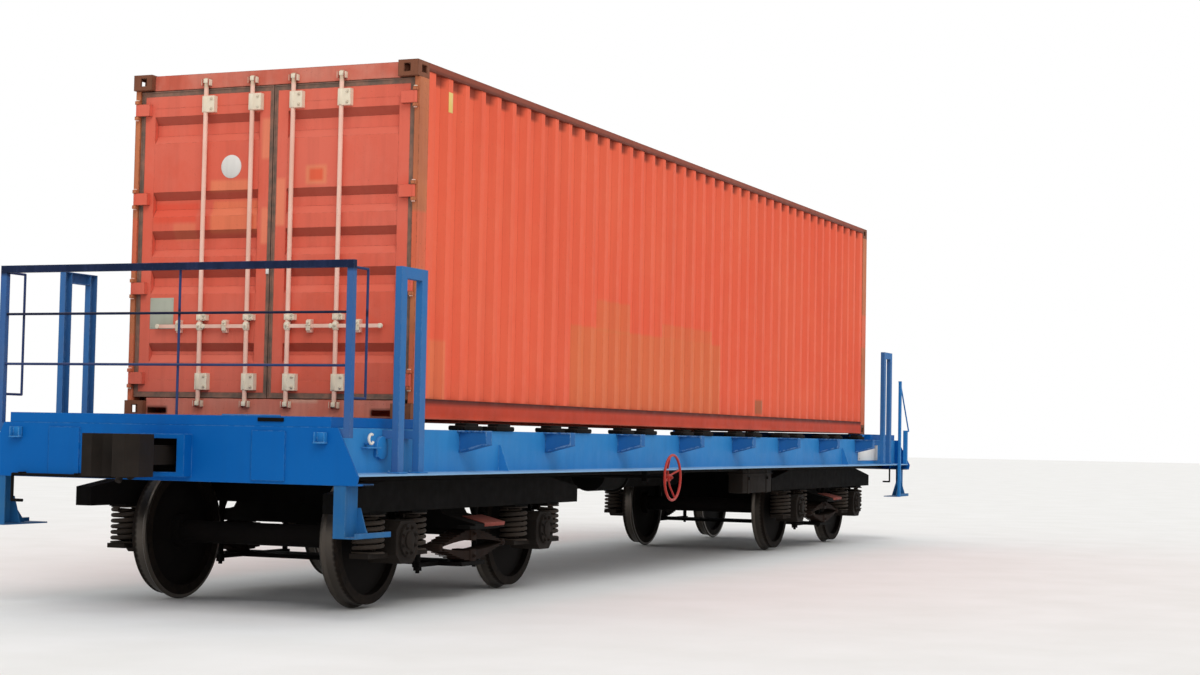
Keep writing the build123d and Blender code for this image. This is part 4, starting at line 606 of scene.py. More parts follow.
def ring(bm, center, radius, wire, axis="Y", turns=1.0, rise=0.0, steps=24, sides=8):
    """A round bar bent round Y or Z: a closed ring, or a coil where it turns more and rises."""
    section = bmesh.ops.create_circle(bm, segments=sides, radius=wire, cap_ends=False)["verts"]
    quarter = Matrix.Rotation(math.pi / 2, 3, "X")
    bmesh.ops.rotate(bm, cent=(0, 0, 0), matrix=quarter, verts=section)
    bmesh.ops.translate(bm, vec=(radius, 0, 0), verts=section)
    closed = turns == 1.0 and rise == 0.0
    count = max(3, round(steps * turns))
    before = set(bm.verts) - set(section)
    bmesh.ops.spin(bm, geom=section + edges_at(section), cent=(0, 0, 0), axis=(0, 0, 1),
                   dvec=(0, 0, rise / count), angle=2 * math.pi * turns, steps=count, use_merge=closed,
                   use_duplicate=False)
    verts = [vert for vert in bm.verts if vert not in before]
    if not closed:
        ends = [edge for edge in edges_at(verts) if edge.is_boundary]
        bmesh.ops.holes_fill(bm, edges=ends, sides=0)
    bmesh.ops.translate(bm, vec=(0, 0, -rise / 2), verts=verts)
    if axis == "Y":
        bmesh.ops.rotate(bm, cent=(0, 0, 0), matrix=quarter, verts=verts)
    bmesh.ops.translate(bm, vec=center, verts=verts)


def pattern(bm, name):
    """Keep a finished bmesh as a mesh to stamp."""
    mesh = bpy.data.meshes.new(name)
    bm.to_mesh(mesh)
    bm.free()
    return mesh


def stamp(bm, mesh, place):
    """Add a copy of a finished mesh, moved to a place or by a matrix."""
    copy = mesh.copy()
    copy.transform(place if isinstance(place, Matrix) else Matrix.Translation(place))
    bm.from_mesh(copy)
    bpy.data.meshes.remove(copy)


SHARP_FROM = math.radians(35)


def place_piece(bm, name, body, material, stands_for=()):
    """Turn a bmesh into a shaded object that rides on a CAD body."""
    bmesh.ops.recalc_face_normals(bm, faces=bm.faces)
    mesh = pattern(bm, name)
    mesh.shade_smooth()
    mesh.set_sharp_from_angle(angle=SHARP_FROM)
    mesh.materials.append(material)
    piece = bpy.data.objects.new(name, mesh)
    bpy.context.scene.collection.objects.link(piece)
    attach(piece, body)
    if stands_for:
        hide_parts(*stands_for)
    print(name, "faces:", len(mesh.polygons))


bm = bmesh.new()
ring(bm, (0, 0, 0), 1.0, 0.1)
print("a ring has", len(bm.faces), "faces")
bm.free()

# %% [markdown]
# Each axle box carries a pair of coil springs inside one another. A coil is a round bar wound at an
# even pitch, so a circle is spun round the spring's axis while it climbs. A thin seat plate closes each
# end. The CAD solids that stand for the springs are replaced.

# %% Coil springs
BEAM_Y = 1.018
SPRING_LOW, SPRING_HIGH = 0.418, 0.690
SPRING_OUT = 0.315
OUTER_COIL = (0.102, 0.0155, 5.5)
INNER_COIL = (0.060, 0.0105, 7.0)
SEAT_R, SEAT_T, SEAT_GAP = 0.117, 0.010, 0.012
BOGIES = {"a": -BOGIE_X, "b": BOGIE_X}

bm = bmesh.new()
for radius, wire, turns in (OUTER_COIL, INNER_COIL):
    climb = SPRING_HIGH - SPRING_LOW - 2 * wire - SEAT_GAP
    ring(bm, (0, 0, (SPRING_LOW + SPRING_HIGH) / 2), radius, wire, "Z", turns, climb, steps=20)
pin(bm, (0, 0, SPRING_LOW), (0, 0, SPRING_LOW + SEAT_T), SEAT_R, sides=28)
pin(bm, (0, 0, SPRING_HIGH - SEAT_T), (0, 0, SPRING_HIGH), SEAT_R, sides=28)
coil_pair = pattern(bm, "coil_pair")

for tag, middle in BOGIES.items():
    bm = bmesh.new()
    for axle in (-AXLE_OUT, AXLE_OUT):
        for side in (-SPRING_OUT, SPRING_OUT):
            for y in (-BEAM_Y, BEAM_Y):
                stamp(bm, coil_pair, (middle + axle + side, y, 0))
    place_piece(bm, f"coil_spring_windings_{tag}", f"bogie_{tag}", coil_paint,
                [f"coil_springs_{tag}"])

# %% [markdown]
# The bolster stands on elliptic springs: two stacks of leaves that face each other and share their
# eyes. The longest leaf lies inside and each further one is shorter, which gives the stack its steps.
# A leaf is a flat strip spun through a small angle about a far-away centre, and a forged band holds the
# stack in the middle.

# %% Leaf springs
LEAF_HALF, LEAF_MIDDLE = 0.540, 0.4185
BELLY, SEAT = 0.0425, 0.1265
LEAF_T, LEAF_COUNT, LEAF_W = 0.0105, 7, 0.150
STEEL_SHARE = 0.86  # of the pitch between leaves; the rest is the gap that shows between them
SHORTER = 0.86
BAND_HALF, BAND_OUT, BAND_IN, BAND_BOLT = 0.050, 0.083, 0.034, 0.085


def leaf(up, inner_radius, thickness, half, crown):
    """One leaf whose inner face has its crown `crown` from the middle, bent to `inner_radius`."""
    bm = bmesh.new()
    strip = bmesh.ops.create_grid(bm, x_segments=1, y_segments=1, size=0.5)["verts"]
    bmesh.ops.scale(bm, vec=(LEAF_W, thickness, 1), verts=strip)
    on_edge = Matrix(((0, 0, 1), (1, 0, 0), (0, 1, 0)))
    bmesh.ops.rotate(bm, cent=(0, 0, 0), matrix=on_edge, verts=strip)
    bmesh.ops.translate(bm, vec=(0, 0, inner_radius + thickness / 2), verts=strip)
    turn = half / inner_radius
    bmesh.ops.rotate(bm, cent=(0, 0, 0), matrix=Matrix.Rotation(-turn, 3, "Y"), verts=strip)
    bmesh.ops.spin(bm, geom=bm.verts[:] + bm.edges[:] + bm.faces[:], cent=(0, 0, 0), axis=(0, 1, 0),
                   dvec=(0, 0, 0), angle=2 * turn, steps=16, use_merge=False, use_duplicate=False)
    bmesh.ops.translate(bm, vec=(0, 0, crown - inner_radius), verts=bm.verts)
    bmesh.ops.scale(bm, vec=(1, 1, up), verts=bm.verts)
    bmesh.ops.translate(bm, vec=(0, 0, LEAF_MIDDLE), verts=bm.verts)
    return pattern(bm, "leaf")


bm = bmesh.new()
for up in (1, -1):
    for n in range(LEAF_COUNT):
        half = LEAF_HALF * (1 - n / LEAF_COUNT * SHORTER)
        radius = (LEAF_HALF ** 2 + BELLY ** 2) / (2 * BELLY) + n * LEAF_T
        stamp(bm, leaf(up, radius, LEAF_T * STEEL_SHARE, half, BELLY + n * LEAF_T), (0, 0, 0))
    bar(bm, (-BAND_HALF, BAND_HALF), (-BAND_OUT, BAND_OUT),
        (LEAF_MIDDLE + up * BAND_IN, LEAF_MIDDLE + up * SEAT), 0.006)
    for side in (-BAND_OUT, BAND_OUT):
        bolt(bm, (0, side, LEAF_MIDDLE + up * BAND_BOLT), (0, side, 0), 0.013)
for x in (-LEAF_HALF, LEAF_HALF):
    for y, radius, sides in ((0.080, 0.028, 24), (0.087, 0.014, 12)):
        pin(bm, (x, -y, LEAF_MIDDLE), (x, y, LEAF_MIDDLE), radius, sides=sides)
leaf_stack = pattern(bm, "leaf_stack")

for tag, middle in BOGIES.items():
    bm = bmesh.new()
    for y in (-BEAM_Y, BEAM_Y):
        stamp(bm, leaf_stack, (middle, y, 0))
    place_piece(bm, f"leaf_spring_stacks_{tag}", f"bogie_{tag}", spring_paint,
                [f"leaf_springs_{tag}"])

# %% [markdown]
# The bogies' small parts: bolted covers on the axle boxes, a worn cover plate in red lead on each end
# of the bolster, nuts under the hanging links, and the pull rods that join the two brake beams. A
# bogie is the same from both sides, so each pattern is stamped once as it is and once turned round.

# %% Bogie fittings
BOX_FACE = 1.178
COVER_R, BOLT_CIRCLE = 0.062, 0.096
PLATE_X, PLATE_TILT = (-0.050, 0.300), math.radians(13.5)
PLATE_PLACE = (0, -1.215, 0.586)
LINK_X, LINK_Y, PLANK_Z = 0.480, 0.870, 0.262
BRAKE_BEAM_X, PULL_ROD_Y = 0.650, 0.250

bm = bmesh.new()
pin(bm, (0, 0, AXLE_Z), (0, -0.012, AXLE_Z), COVER_R, sides=28, soft=0.004)
for n in range(8):
    turn = math.radians(45 * n + 22.5)
    bolt(bm, (BOLT_CIRCLE * math.cos(turn), 0, AXLE_Z + BOLT_CIRCLE * math.sin(turn)), (0, -1, 0), 0.011)
box_cover = pattern(bm, "box_cover")

bm = bmesh.new()
bar(bm, PLATE_X, (0, 0.200), (0, 0.009))
bar(bm, PLATE_X, (-0.007, 0.004), (-0.022, 0.009))
bmesh.ops.rotate(bm, cent=(0, 0, 0), matrix=Matrix.Rotation(PLATE_TILT, 3, "X"), verts=bm.verts)
cover_plate = pattern(bm, "cover_plate")

for tag, middle in BOGIES.items():
    covers, plates, hangers = bmesh.new(), bmesh.new(), bmesh.new()
    for turn in (Matrix.Identity(4), Matrix.Rotation(math.pi, 4, "Z")):
        turned = Matrix.Translation((middle, 0, 0)) @ turn
        for axle in (-AXLE_OUT, AXLE_OUT):
            stamp(covers, box_cover, turned @ Matrix.Translation((axle, -BOX_FACE, 0)))
        stamp(plates, cover_plate, turned @ Matrix.Translation(PLATE_PLACE))
    for x in (middle - LINK_X, middle + LINK_X):
        for y in (-LINK_Y, LINK_Y):
            pin(hangers, (x, y, PLANK_Z), (x, y, PLANK_Z - 0.026), 0.036, sides=6)
            pin(hangers, (x, y, PLANK_Z - 0.026), (x, y, PLANK_Z - 0.046), 0.016, sides=12)
    for y in (-PULL_ROD_Y, PULL_ROD_Y):
        pin(hangers, (middle - BRAKE_BEAM_X, y, AXLE_Z), (middle + BRAKE_BEAM_X, y, AXLE_Z), 0.013,
            sides=12)
    place_piece(covers, f"axle_box_covers_{tag}", f"bogie_{tag}", cast_paint)
    place_piece(plates, f"bolster_cover_plates_{tag}", f"bogie_{tag}", primer_paint)
    place_piece(hangers, f"link_nuts_and_pull_rods_{tag}", f"bogie_{tag}", under_paint)

# %% [markdown]
# Door gear. Each lock bar turns in bearing brackets whose caps wrap round it, a handle hangs on a hub
# near its lower end and rests in a catch, and cast cams at both ends of the bar bite into keepers. The
# gasket's raised lips run round each leaf. All this swings with its leaf.

# %% Door gear
BAR_X, BAR_YS = -6.072, (0.176, 0.582)
BRACKETS = ((1.623, 0.062, 0.058), (2.100, 0.022, 0.042), (3.704, 0.062, 0.058))
CAP_R, CAP_BOLT_X = 0.0235, -6.090
CAM_X, CAM_HALF, CAM_ZS = (-6.092, -6.058), 0.0175, ((1.442, 1.478), (3.862, 3.896))
HANDLE_Z, HUB_HALF, HUB_X = 2.034, 0.030, (-6.095, -6.084)
CATCH_OUT, CATCH_X, GRIP_OUT = 0.185, (-6.094, -6.084), 0.370
LIP_T, LIP_LOW, LIP_HIGH = 0.010, 1.503, 3.814
LEAVES = {"right": -1, "left": 1}

for tag, side in LEAVES.items():
    gear, seal = bmesh.new(), bmesh.new()
    for y in [side * out for out in BAR_YS]:
        for z, half, reach in BRACKETS:
            pin(gear, (BAR_X, y, z - half + 0.003), (BAR_X, y, z + half - 0.003), CAP_R, sides=24,
                soft=0.004)
            for rise in (-0.62 * half, 0.62 * half):
                bolt(gear, (CAP_BOLT_X, y - reach, z + rise), (-1, 0, 0), 0.0085)
        for cam in CAM_ZS:
            bar(gear, CAM_X, (y - CAM_HALF, y + CAM_HALF), cam, 0.005)
        pin(gear, (BAR_X, y, HANDLE_Z - HUB_HALF), (BAR_X, y, HANDLE_Z + HUB_HALF), CAP_R, sides=24,
            soft=0.004)
        bar(gear, HUB_X, (y - 0.020, y + 0.020), (HANDLE_Z - 0.020, HANDLE_Z + 0.020), 0.004)
        bolt(gear, (HUB_X[0], y, HANDLE_Z), (-1, 0, 0), 0.008)
        catch, tip = y + side * CATCH_OUT, y + side * GRIP_OUT
        bar(gear, CATCH_X, (catch - 0.018, catch + 0.018), (HANDLE_Z - 0.034, HANDLE_Z + 0.040))
        knob_z = HANDLE_Z + 0.026
        pin(gear, (CATCH_X[0], catch, knob_z), (-6.104, catch, knob_z), 0.009, sides=14)
        ring(gear, (-6.100, catch, HANDLE_Z + 0.004), 0.014, 0.003, "Z", steps=16, sides=6)
        pin(gear, (-6.090, tip, HANDLE_Z), (-6.070, tip, HANDLE_Z), 0.018, sides=18)
    for z in (LIP_LOW, LIP_HIGH):
        bar(seal, (-6.051, -6.045), (side * 0.004, side * 1.172), (z, z + LIP_T), 0.002)
    for y in (0.004, 1.162):
        bar(seal, (-6.0505, -6.0445), (side * y, side * (y + LIP_T)), (LIP_LOW, LIP_HIGH + LIP_T), 0.002)
    place_piece(gear, f"lock_gear_fittings_{tag}", f"door_{tag}_leaf", cream_paint)
    place_piece(seal, f"gasket_lips_{tag}", f"door_{tag}_leaf", rubber)

# %% [markdown]
# What the leaves close against stays on the container: a keeper for each cam, made of two cheeks with
# the cam between them, and the heads of the hinge pins above and below each hinge lug.

# %% Keepers and hinge pins
KEEPER_X, KEEPER_ZS = (-6.088, -6.0485), ((1.435, 1.482), (3.845, 3.892))
CHEEK_IN, CHEEK_T = 0.0312, 0.004
PIN_X, PIN_Y = -6.076, 1.192
HINGE_ZS = (3.681, 3.002, 2.323, 1.644)
HEAD_UP, HEAD_T, HEAD_R = 0.072, 0.008, 0.014

keepers = bmesh.new()
for y in [side * y for side in (-1, 1) for y in BAR_YS]:
    for heights in KEEPER_ZS:
        for cheek in (-1, 1):
            inner = y + cheek * CHEEK_IN
            bar(keepers, KEEPER_X, (inner, inner + cheek * CHEEK_T), heights, 0.001)
place_piece(keepers, "bar_keepers", "car", cream_paint)

hinges = bmesh.new()
for side in (-1, 1):
    for z in HINGE_ZS:
        for way in (-1, 1):
            head = z + way * HEAD_UP
            pin(hinges, (PIN_X, side * PIN_Y, head), (PIN_X, side * PIN_Y, head + way * HEAD_T), HEAD_R,
                sides=16)
place_piece(hinges, "hinge_pin_heads", "car", zinc_paint)

# %% [markdown]
# Plates and stickers are left blank: a riveted data plate on the left leaf, a round film and a small
# white tag beside it, a yellow film on the side, and a pale bolted board on each side sill. A film is
# thinner than a millimetre in life. Here it stands 2 mm proud, so that its edge catches the light.

# %% Plates and stickers
LEAF_FACE, DATA_FACE = -6.0455, -6.049
DATA_Y, DATA_Z, RIVET_YS, RIVET_ZS = (0.836, 1.045), (2.017, 2.252), (0.848, 1.033), (2.029, 2.240)
ROUND_Y, ROUND_Z, ROUND_R, FILM_T = 0.361, 3.230, 0.088, 0.002
TAG_X, TAG_Y, TAG_Z = (-6.056, -6.045), (0.008, 0.034), (2.420, 2.460)
YELLOW_X, YELLOW_Y, YELLOW_Z = (-5.594, -5.526), (-1.2145, -1.2125), (3.640, 3.790)
BOARD_X, BOARD_Y, BOARD_Z = (5.500, 6.420), (1.299, 1.306), (1.035, 1.275)
BOARD_BOLT_XS, BOARD_BOLT_ZS = (5.540, 6.380), (1.060, 1.250)

plate = bmesh.new()
bar(plate, (DATA_FACE, LEAF_FACE), DATA_Y, DATA_Z, 0.001)
for y in RIVET_YS:
    for z in RIVET_ZS:
        pin(plate, (DATA_FACE, y, z), (DATA_FACE - 0.003, y, z), 0.005, sides=10, soft=0.001)
place_piece(plate, "door_data_plate", "door_left_leaf", plate_paint)

film = bmesh.new()
pin(film, (LEAF_FACE, ROUND_Y, ROUND_Z), (LEAF_FACE - FILM_T, ROUND_Y, ROUND_Z), ROUND_R, sides=48,
    soft=0.0005)
bar(film, TAG_X, TAG_Y, TAG_Z)
place_piece(film, "door_round_film", "door_left_leaf", white_paint)

film = bmesh.new()
bar(film, YELLOW_X, YELLOW_Y, YELLOW_Z, 0.0006)
place_piece(film, "side_yellow_film", "car", yellow_film)

board = bmesh.new()
for side in (-1, 1):
    bar(board, BOARD_X, (side * BOARD_Y[0], side * BOARD_Y[1]), BOARD_Z, 0.002)
    for x in BOARD_BOLT_XS:
        for z in BOARD_BOLT_ZS:
            bolt(board, (x, side * BOARD_Y[1], z), (0, side, 0), 0.007)
place_piece(board, "sill_blank_boards", "car", white_paint)

# %% [markdown]
# The frame's fittings sit near its four corners: a white cord hook over a small shelf, a half-round
# lifting pad, a lamp bracket, bolted feet under the guards, and a gusset that widens each step's hanger
# towards its tread. The car has no left or right hand here, so each is mirrored to the other corners.
# The gusset is a four-sided cone, flattened to a tapering plate.

# %% Hook and gusset
FRAME_HALF = 7.323
SILL_WEB_Y = 1.300
HOOK_R, HOOK_WIRE, HOOK_TURN, HOOK_LEAN = 0.032, 0.010, 0.74, math.radians(-60)
HOOK_X, HOOK_OUT, HOOK_Z = 6.880, 0.045, 1.222
GUSSET_H, GUSSET_FOOT, GUSSET_TOP, GUSSET_THIN = 0.190, 0.126, 0.045, 0.05
GUSSET_X, GUSSET_Y, GUSSET_Z = 7.154, 1.400, 0.580

bm = bmesh.new()
ring(bm, (0, 0, 0), HOOK_R, HOOK_WIRE, "Y", turns=HOOK_TURN)
bmesh.ops.rotate(bm, cent=(0, 0, 0), matrix=Matrix.Rotation(HOOK_LEAN, 3, "Y"), verts=bm.verts)
hook = pattern(bm, "hook")

bm = bmesh.new()
pin(bm, (0, 0, 0), (0, 0, GUSSET_H), GUSSET_FOOT, sides=4, soft=0.0, radius_end=GUSSET_TOP)
bmesh.ops.rotate(bm, cent=(0, 0, 0), matrix=Matrix.Rotation(math.pi / 4, 3, "Z"), verts=bm.verts)
bmesh.ops.scale(bm, vec=(GUSSET_THIN, 1, 1), verts=bm.verts)
gusset = pattern(bm, "gusset")
print("hook faces:", len(hook.polygons), "gusset faces:", len(gusset.polygons))

# %% [markdown]
# The bars of one corner stand in a table: their range along the car, how far they reach out from the
# sill's web, and their heights. Two loops then mirror the corner to all four places.

# %% Frame fittings
SILL_BARS = (
    ((6.865, 6.895), (0, HOOK_OUT), (1.182, 1.196)),  # the hook's stem
    ((6.760, 6.940), (0, 0.060), (1.158, 1.168)),  # the shelf under it
    ((6.600, 6.760), (-0.004, 0.022), (1.100, 1.163)),  # the lifting pad's foot
)
PAD_X, PAD_Z, PAD_R, PAD_OUT = 6.680, 1.163, 0.079, 0.025
LAMP_Y, LAMP_Z, LAMP_TOP = 1.224, 1.187, 1.262
GUARD_FEET, FOOT_Y, FOOT_Z, FOOT_T = (6.304, 6.605), (1.355, 1.450), 0.989, 0.010

hooks, fittings, gussets = bmesh.new(), bmesh.new(), bmesh.new()
for end in (-1, 1):
    for side in (-1, 1):
        web, lamp, face = side * SILL_WEB_Y, side * LAMP_Y, end * FRAME_HALF
        stamp(gussets, gusset, (end * GUSSET_X, side * GUSSET_Y, GUSSET_Z))
        stamp(hooks, hook, (end * HOOK_X, web + side * HOOK_OUT, HOOK_Z))
        for (back, front), (near, far), heights in SILL_BARS:
            bar(fittings, (end * back, end * front), (web + side * near, web + side * far), heights)
        pin(fittings, (end * PAD_X, web, PAD_Z), (end * PAD_X, web + side * PAD_OUT, PAD_Z), PAD_R,
            sides=32)
        bar(fittings, (face, end * (FRAME_HALF + 0.006)), (lamp - 0.040, lamp + 0.040),
            (LAMP_Z, LAMP_TOP), 0.002)
        bar(fittings, (face, end * (FRAME_HALF + 0.045)), (lamp - 0.044, lamp + 0.044),
            (LAMP_Z, 1.195), 0.002)
        for cheek in (-0.040, 0.034):
            bar(fittings, (face, end * (FRAME_HALF + 0.042)), (lamp + cheek, lamp + cheek + 0.006),
                (1.190, LAMP_TOP), 0.002)
        for x in GUARD_FEET:
            bar(fittings, (end * (x - 0.060), end * (x + 0.060)), (side * FOOT_Y[0], side * FOOT_Y[1]),
                (FOOT_Z, FOOT_Z + FOOT_T))
            for rim in (-0.050, 0.050):
                bolt(fittings, (end * (x + rim), side * 1.362, FOOT_Z + FOOT_T), (0, 0, 1), 0.007)
place_piece(hooks, "white_cord_hooks", "car", white_paint)
place_piece(fittings, "frame_fittings", "car", blue_paint)
place_piece(gussets, "step_gussets", "car", step_paint)

# %% [markdown]
# Folding stops lie flat on the near side sill, two beside each outrigger: they swing up beside shorter
# containers. Under a 40 ft container they are folded down, in the underframe's near-black paint,
# which carries painted shade. A closed box for the brake's valve hangs inside the same sill, between
# the bogies, on two straps.

# %% Folding stops and valve box
OUTRIGGER_PITCH = BOGIE_X / 3.0878
STOP_PLACES = ((0.130, 0.180), (0.690, 0.185))  # from an outrigger, and half the stop's length
ARM_Y, ARM_Z = (-1.320, -1.205), (1.294, 1.330)
TAB_Y, TAB_Z = (-1.310, -1.215), (1.322, 1.350)
STOP_PIN_Z, LAST_STOP = 1.314, 5.75
BOX_X, BOX_Y, BOX_Z, LID_Z = (1.320, 2.300), (-1.220, -1.060), (0.705, 0.955), (0.900, 0.912)
STRAP_XS, STRAP_FACE = (1.500, 2.120), -1.226

stops, valve_box = bmesh.new(), bmesh.new()
for n in range(-4, 4):
    place = OUTRIGGER_PITCH * (n + 0.5)
    for center, half in [(place + shift, half) for shift, half in STOP_PLACES]:
        if abs(center) < LAST_STOP:
            bar(stops, (center - half, center + half), ARM_Y, ARM_Z, 0.016)
            bar(stops, (center - 0.5 * half, center + 0.7 * half), TAB_Y, TAB_Z, 0.010)
            pivot = center - half + 0.03
            pin(stops, (pivot, -1.330, STOP_PIN_Z), (pivot, -1.200, STOP_PIN_Z), 0.014, sides=12)
bar(valve_box, BOX_X, BOX_Y, BOX_Z, 0.012)
bar(valve_box, (1.310, 2.310), (-1.230, -1.050), LID_Z, 0.004)
for x in STRAP_XS:
    bar(valve_box, (x - 0.025, x + 0.025), (STRAP_FACE, -1.054), (0.699, 0.976))
    pin(valve_box, (x, STRAP_FACE, 0.860), (x, -1.242, 0.860), 0.018, sides=16)
place_piece(valve_box, "brake_valve_box", "car", cast_paint)
place_piece(stops, "folded_container_stops", "car", under_paint)

# %% [markdown]
# Thin round rods tie the bars of each end platform's grating together. On each headstock's face a dark
# bar closes a slot under the deck, and one more thin rod runs along the deck's edge above it.

# %% Deck ties
DECK_IN, DECK_OUT, TIE_Z, TIE_R = 6.140, 7.313, 1.343, 0.005

slots, ties = bmesh.new(), bmesh.new()
for end in (-1, 1):
    for n in range(9):
        y = -1.200 + 0.300 * n
        pin(ties, (end * DECK_IN, y, TIE_Z), (end * DECK_OUT, y, TIE_Z), TIE_R, sides=8, soft=0.0)
    face = end * FRAME_HALF
    bar(slots, (face, face + end * 0.012), (end * 0.735, end * 0.933), (1.326, 1.352))
    rod_x = face - end * 0.004
    tube(ties, [(rod_x, end * 0.450, 1.366), (rod_x, end * 0.900, 1.366)], 0.006)
place_piece(slots, "deck_slot_bars", "car", under_paint)
place_piece(ties, "grating_tie_rods", "car", guard_paint)

# %% [markdown]
# At each end a brake pipe comes through the headstock and ends in a cock with a red handle, and a
# bent rod runs along the headstock to the coupler, so that the car can be uncoupled from its side.
# The two ends are the same when the car is turned round. A dark flat strip inside each side sill is
# painted shade: it closes the gap under the sill, which lies in deep shade.

# %% Pipes, cocks and uncoupling rods
PIPE_Y, PIPE_Z, PIPE_R, PIPE_END = 0.262, 0.955, 0.017, 7.340
CLIP_XS = (-6.4, -3.2, -1.0, 1.0, 3.2, 6.4)
ROD_OUT, ROD_REACH, ROD_Z, ROD_GRIP_Z, ROD_R = 0.045, 1.220, 0.930, 0.750, 0.011
ROD_CLIP_YS = (0.400, 0.680, 1.150)
SHADE_STRIP_X, SHADE_STRIP_YS, SHADE_STRIP_Z = (-7.200, 7.200), (1.130, 1.170), (0.936, 0.974)

pipes, cocks, levers = bmesh.new(), bmesh.new(), bmesh.new()
tube(pipes, [(x, PIPE_Y, PIPE_Z) for x in (-PIPE_END, 0, PIPE_END)], PIPE_R)
for x in CLIP_XS:
    bar(pipes, (x - 0.020, x + 0.020), (0.175, 0.285), (0.932, 0.978))
for end in (-1, 1):
    face, side, y = end * FRAME_HALF, -end, PIPE_Y
    flange, body = face + end * 0.020, face + end * 0.085
    pin(cocks, (face, y, PIPE_Z), (flange, y, PIPE_Z), 0.040)
    pin(cocks, (flange, y, PIPE_Z), (body, y, PIPE_Z), 0.024)
    pin(cocks, (face + end * 0.060, y, 0.925), (face + end * 0.060, y, 0.992), 0.021)
    tube(cocks, [(face + end * 0.080, y, PIPE_Z), (face + end * 0.120, y, 0.945),
                 (face + end * 0.150, y, 0.905)], 0.023, 16)
    bar(levers, (face + end * 0.050, face + end * 0.070), (y - 0.010, y + 0.130), (0.992, 1.000))
    reach, rod_x = side * ROD_REACH, face + end * ROD_OUT
    tube(pipes, [(rod_x + end * 0.150, side * 0.120, 1.215), (rod_x, side * 0.330, ROD_Z),
                 (rod_x, reach, ROD_Z), (rod_x, reach, ROD_GRIP_Z),
                 (rod_x, reach - side * 0.090, ROD_GRIP_Z)], ROD_R)
    for y in ROD_CLIP_YS:
        bar(pipes, (face, rod_x + end * 0.018), (side * y - 0.012, side * y + 0.012), (0.920, 0.948))
# Painted shade: a dark strip inside each side sill closes the see-through gap under it.
for side in (-1, 1):
    bar(pipes, SHADE_STRIP_X, (side * SHADE_STRIP_YS[0], side * SHADE_STRIP_YS[1]), SHADE_STRIP_Z)
place_piece(pipes, "brake_pipe_uncoupling_rods_and_shade_strips", "car", under_paint)
place_piece(cocks, "end_cocks", "car", cast_paint)
place_piece(levers, "cock_handles", "car", red_paint)

# %% [markdown]
# The parking brake's hand wheel is dished: its rim stands outside its hub, so that fingers clear the
# sill. The rim is a round bar bent into a ring, and four bent spokes run from it to the hub. It
# replaces the CAD's plain wheel.

# %% Hand wheel
WHEEL_X, WHEEL_Y, WHEEL_Z = -1.519, -1.500, 0.908
WHEEL_R, RIM_R, DISH = 0.204, 0.012, 0.045
SPOKES, SPOKE_R, SPOKE_FROM = 4, 0.009, 20
HUB_FRONT, HUB_BACK, HUB_R = 0.024, 0.030, 0.034

bm = bmesh.new()
ring(bm, (WHEEL_X, WHEEL_Y, WHEEL_Z), WHEEL_R, RIM_R, "Y", steps=48, sides=14)
for n in range(SPOKES):
    turn = math.radians(360 / SPOKES * n + SPOKE_FROM)
    out = Vector((math.cos(turn), 0, math.sin(turn)))
    rim = Vector((WHEEL_X, WHEEL_Y, WHEEL_Z)) + out * WHEEL_R
    bend = Vector((WHEEL_X, WHEEL_Y + 0.8 * DISH, WHEEL_Z)) + out * 0.45 * WHEEL_R
    tube(bm, [rim, bend, Vector((WHEEL_X, WHEEL_Y + DISH, WHEEL_Z))], SPOKE_R, 12)
hub = WHEEL_Y + DISH
pin(bm, (WHEEL_X, hub - HUB_FRONT, WHEEL_Z), (WHEEL_X, hub + HUB_BACK, WHEEL_Z), HUB_R, sides=28,
    soft=0.004)
bolt(bm, (WHEEL_X, hub - HUB_FRONT, WHEEL_Z), (0, -1, 0), 0.016)
place_piece(bm, "dished_hand_wheel", "car", red_paint, ["hand_wheel"])

# %% [markdown]
# A soft studio: an even pale sky gives each colour about as it is written, and one wide sun from behind
# the camera shapes the folds. The camera sees the sky as white, and so do glossy surfaces.

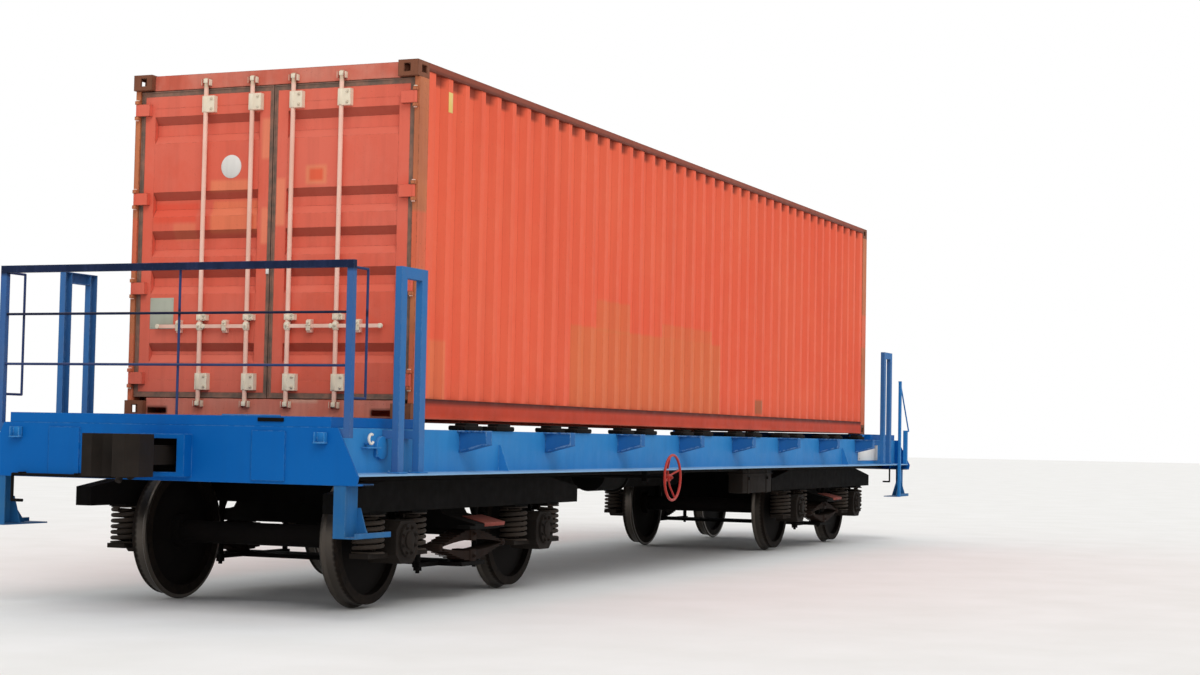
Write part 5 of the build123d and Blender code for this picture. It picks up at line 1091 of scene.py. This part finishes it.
# %% Sky and sun
SKY_LIGHT, SKY_SEEN = 0.80, 1.0
SUN_LIGHT, SUN_WIDTH = 1.1, math.radians(35)
SUN_WAY = Vector((0.62, 0.50, -0.80))

world = bpy.data.worlds.new("studio_sky")
world.use_nodes = True
tree = world.node_tree
tree.nodes.clear()
path = add(tree, "LightPath", out=None)
seen = path["Is Camera Ray"]
for ray in ("Is Glossy Ray", "Is Transmission Ray"):
    seen = add(tree, "Math", {0: seen, 1: path[ray]}, operation="MAXIMUM")
strength = add(tree, "MapRange", {0: seen, 1: 0.0, 2: 1.0, 3: SKY_LIGHT, 4: SKY_SEEN})
sky = add(tree, "Background", {"Color": linear("#FFFFFF"), "Strength": strength})
add(tree, "OutputWorld", {"Surface": sky}, out=None)
bpy.context.scene.world = world

sun = bpy.data.objects.new("soft_sun", bpy.data.lights.new("soft_sun", "SUN"))
sun.data.energy = SUN_LIGHT
sun.data.angle = SUN_WIDTH
sun.rotation_mode = "QUATERNION"
sun.rotation_quaternion = SUN_WAY.to_track_quat("-Z", "Y")
bpy.context.scene.collection.objects.link(sun)
bpy.context.scene.view_settings.view_transform = "Standard"
print("sky:", SKY_LIGHT, "sun:", SUN_LIGHT)

# %% [markdown]
# The floor is a wide pale disc of painted concrete, matt and slightly cloudy, that keeps the car's
# shadow. It is only part of the studio and does not count as part of the car.

# %% Floor
FLOOR_R = 160.0

floor_material, tree = blank_material("pale_studio_floor")
place = add(tree, "TexCoord", out="Object")
cloudy = patches(tree, place, 0.8, 0.3, 0.7, 4.0)
tint, _ = layered(tree, linear("#E9E8E5"), {"cloudy": ("#EFEEEC", cloudy)})
shader = add(tree, "BsdfPrincipled", {"Base Color": tint, "Roughness": 0.9, "Specular IOR Level": 0.2})
add(tree, "OutputMaterial", {"Surface": shader}, out=None)

bm = bmesh.new()
bmesh.ops.create_circle(bm, cap_ends=True, segments=96, radius=FLOOR_R)
floor_mesh = pattern(bm, "studio_floor")
floor_mesh.materials.append(floor_material)
floor = bpy.data.objects.new("studio_floor", floor_mesh)
bpy.context.scene.collection.objects.link(floor)
print("floor radius:", FLOOR_R)
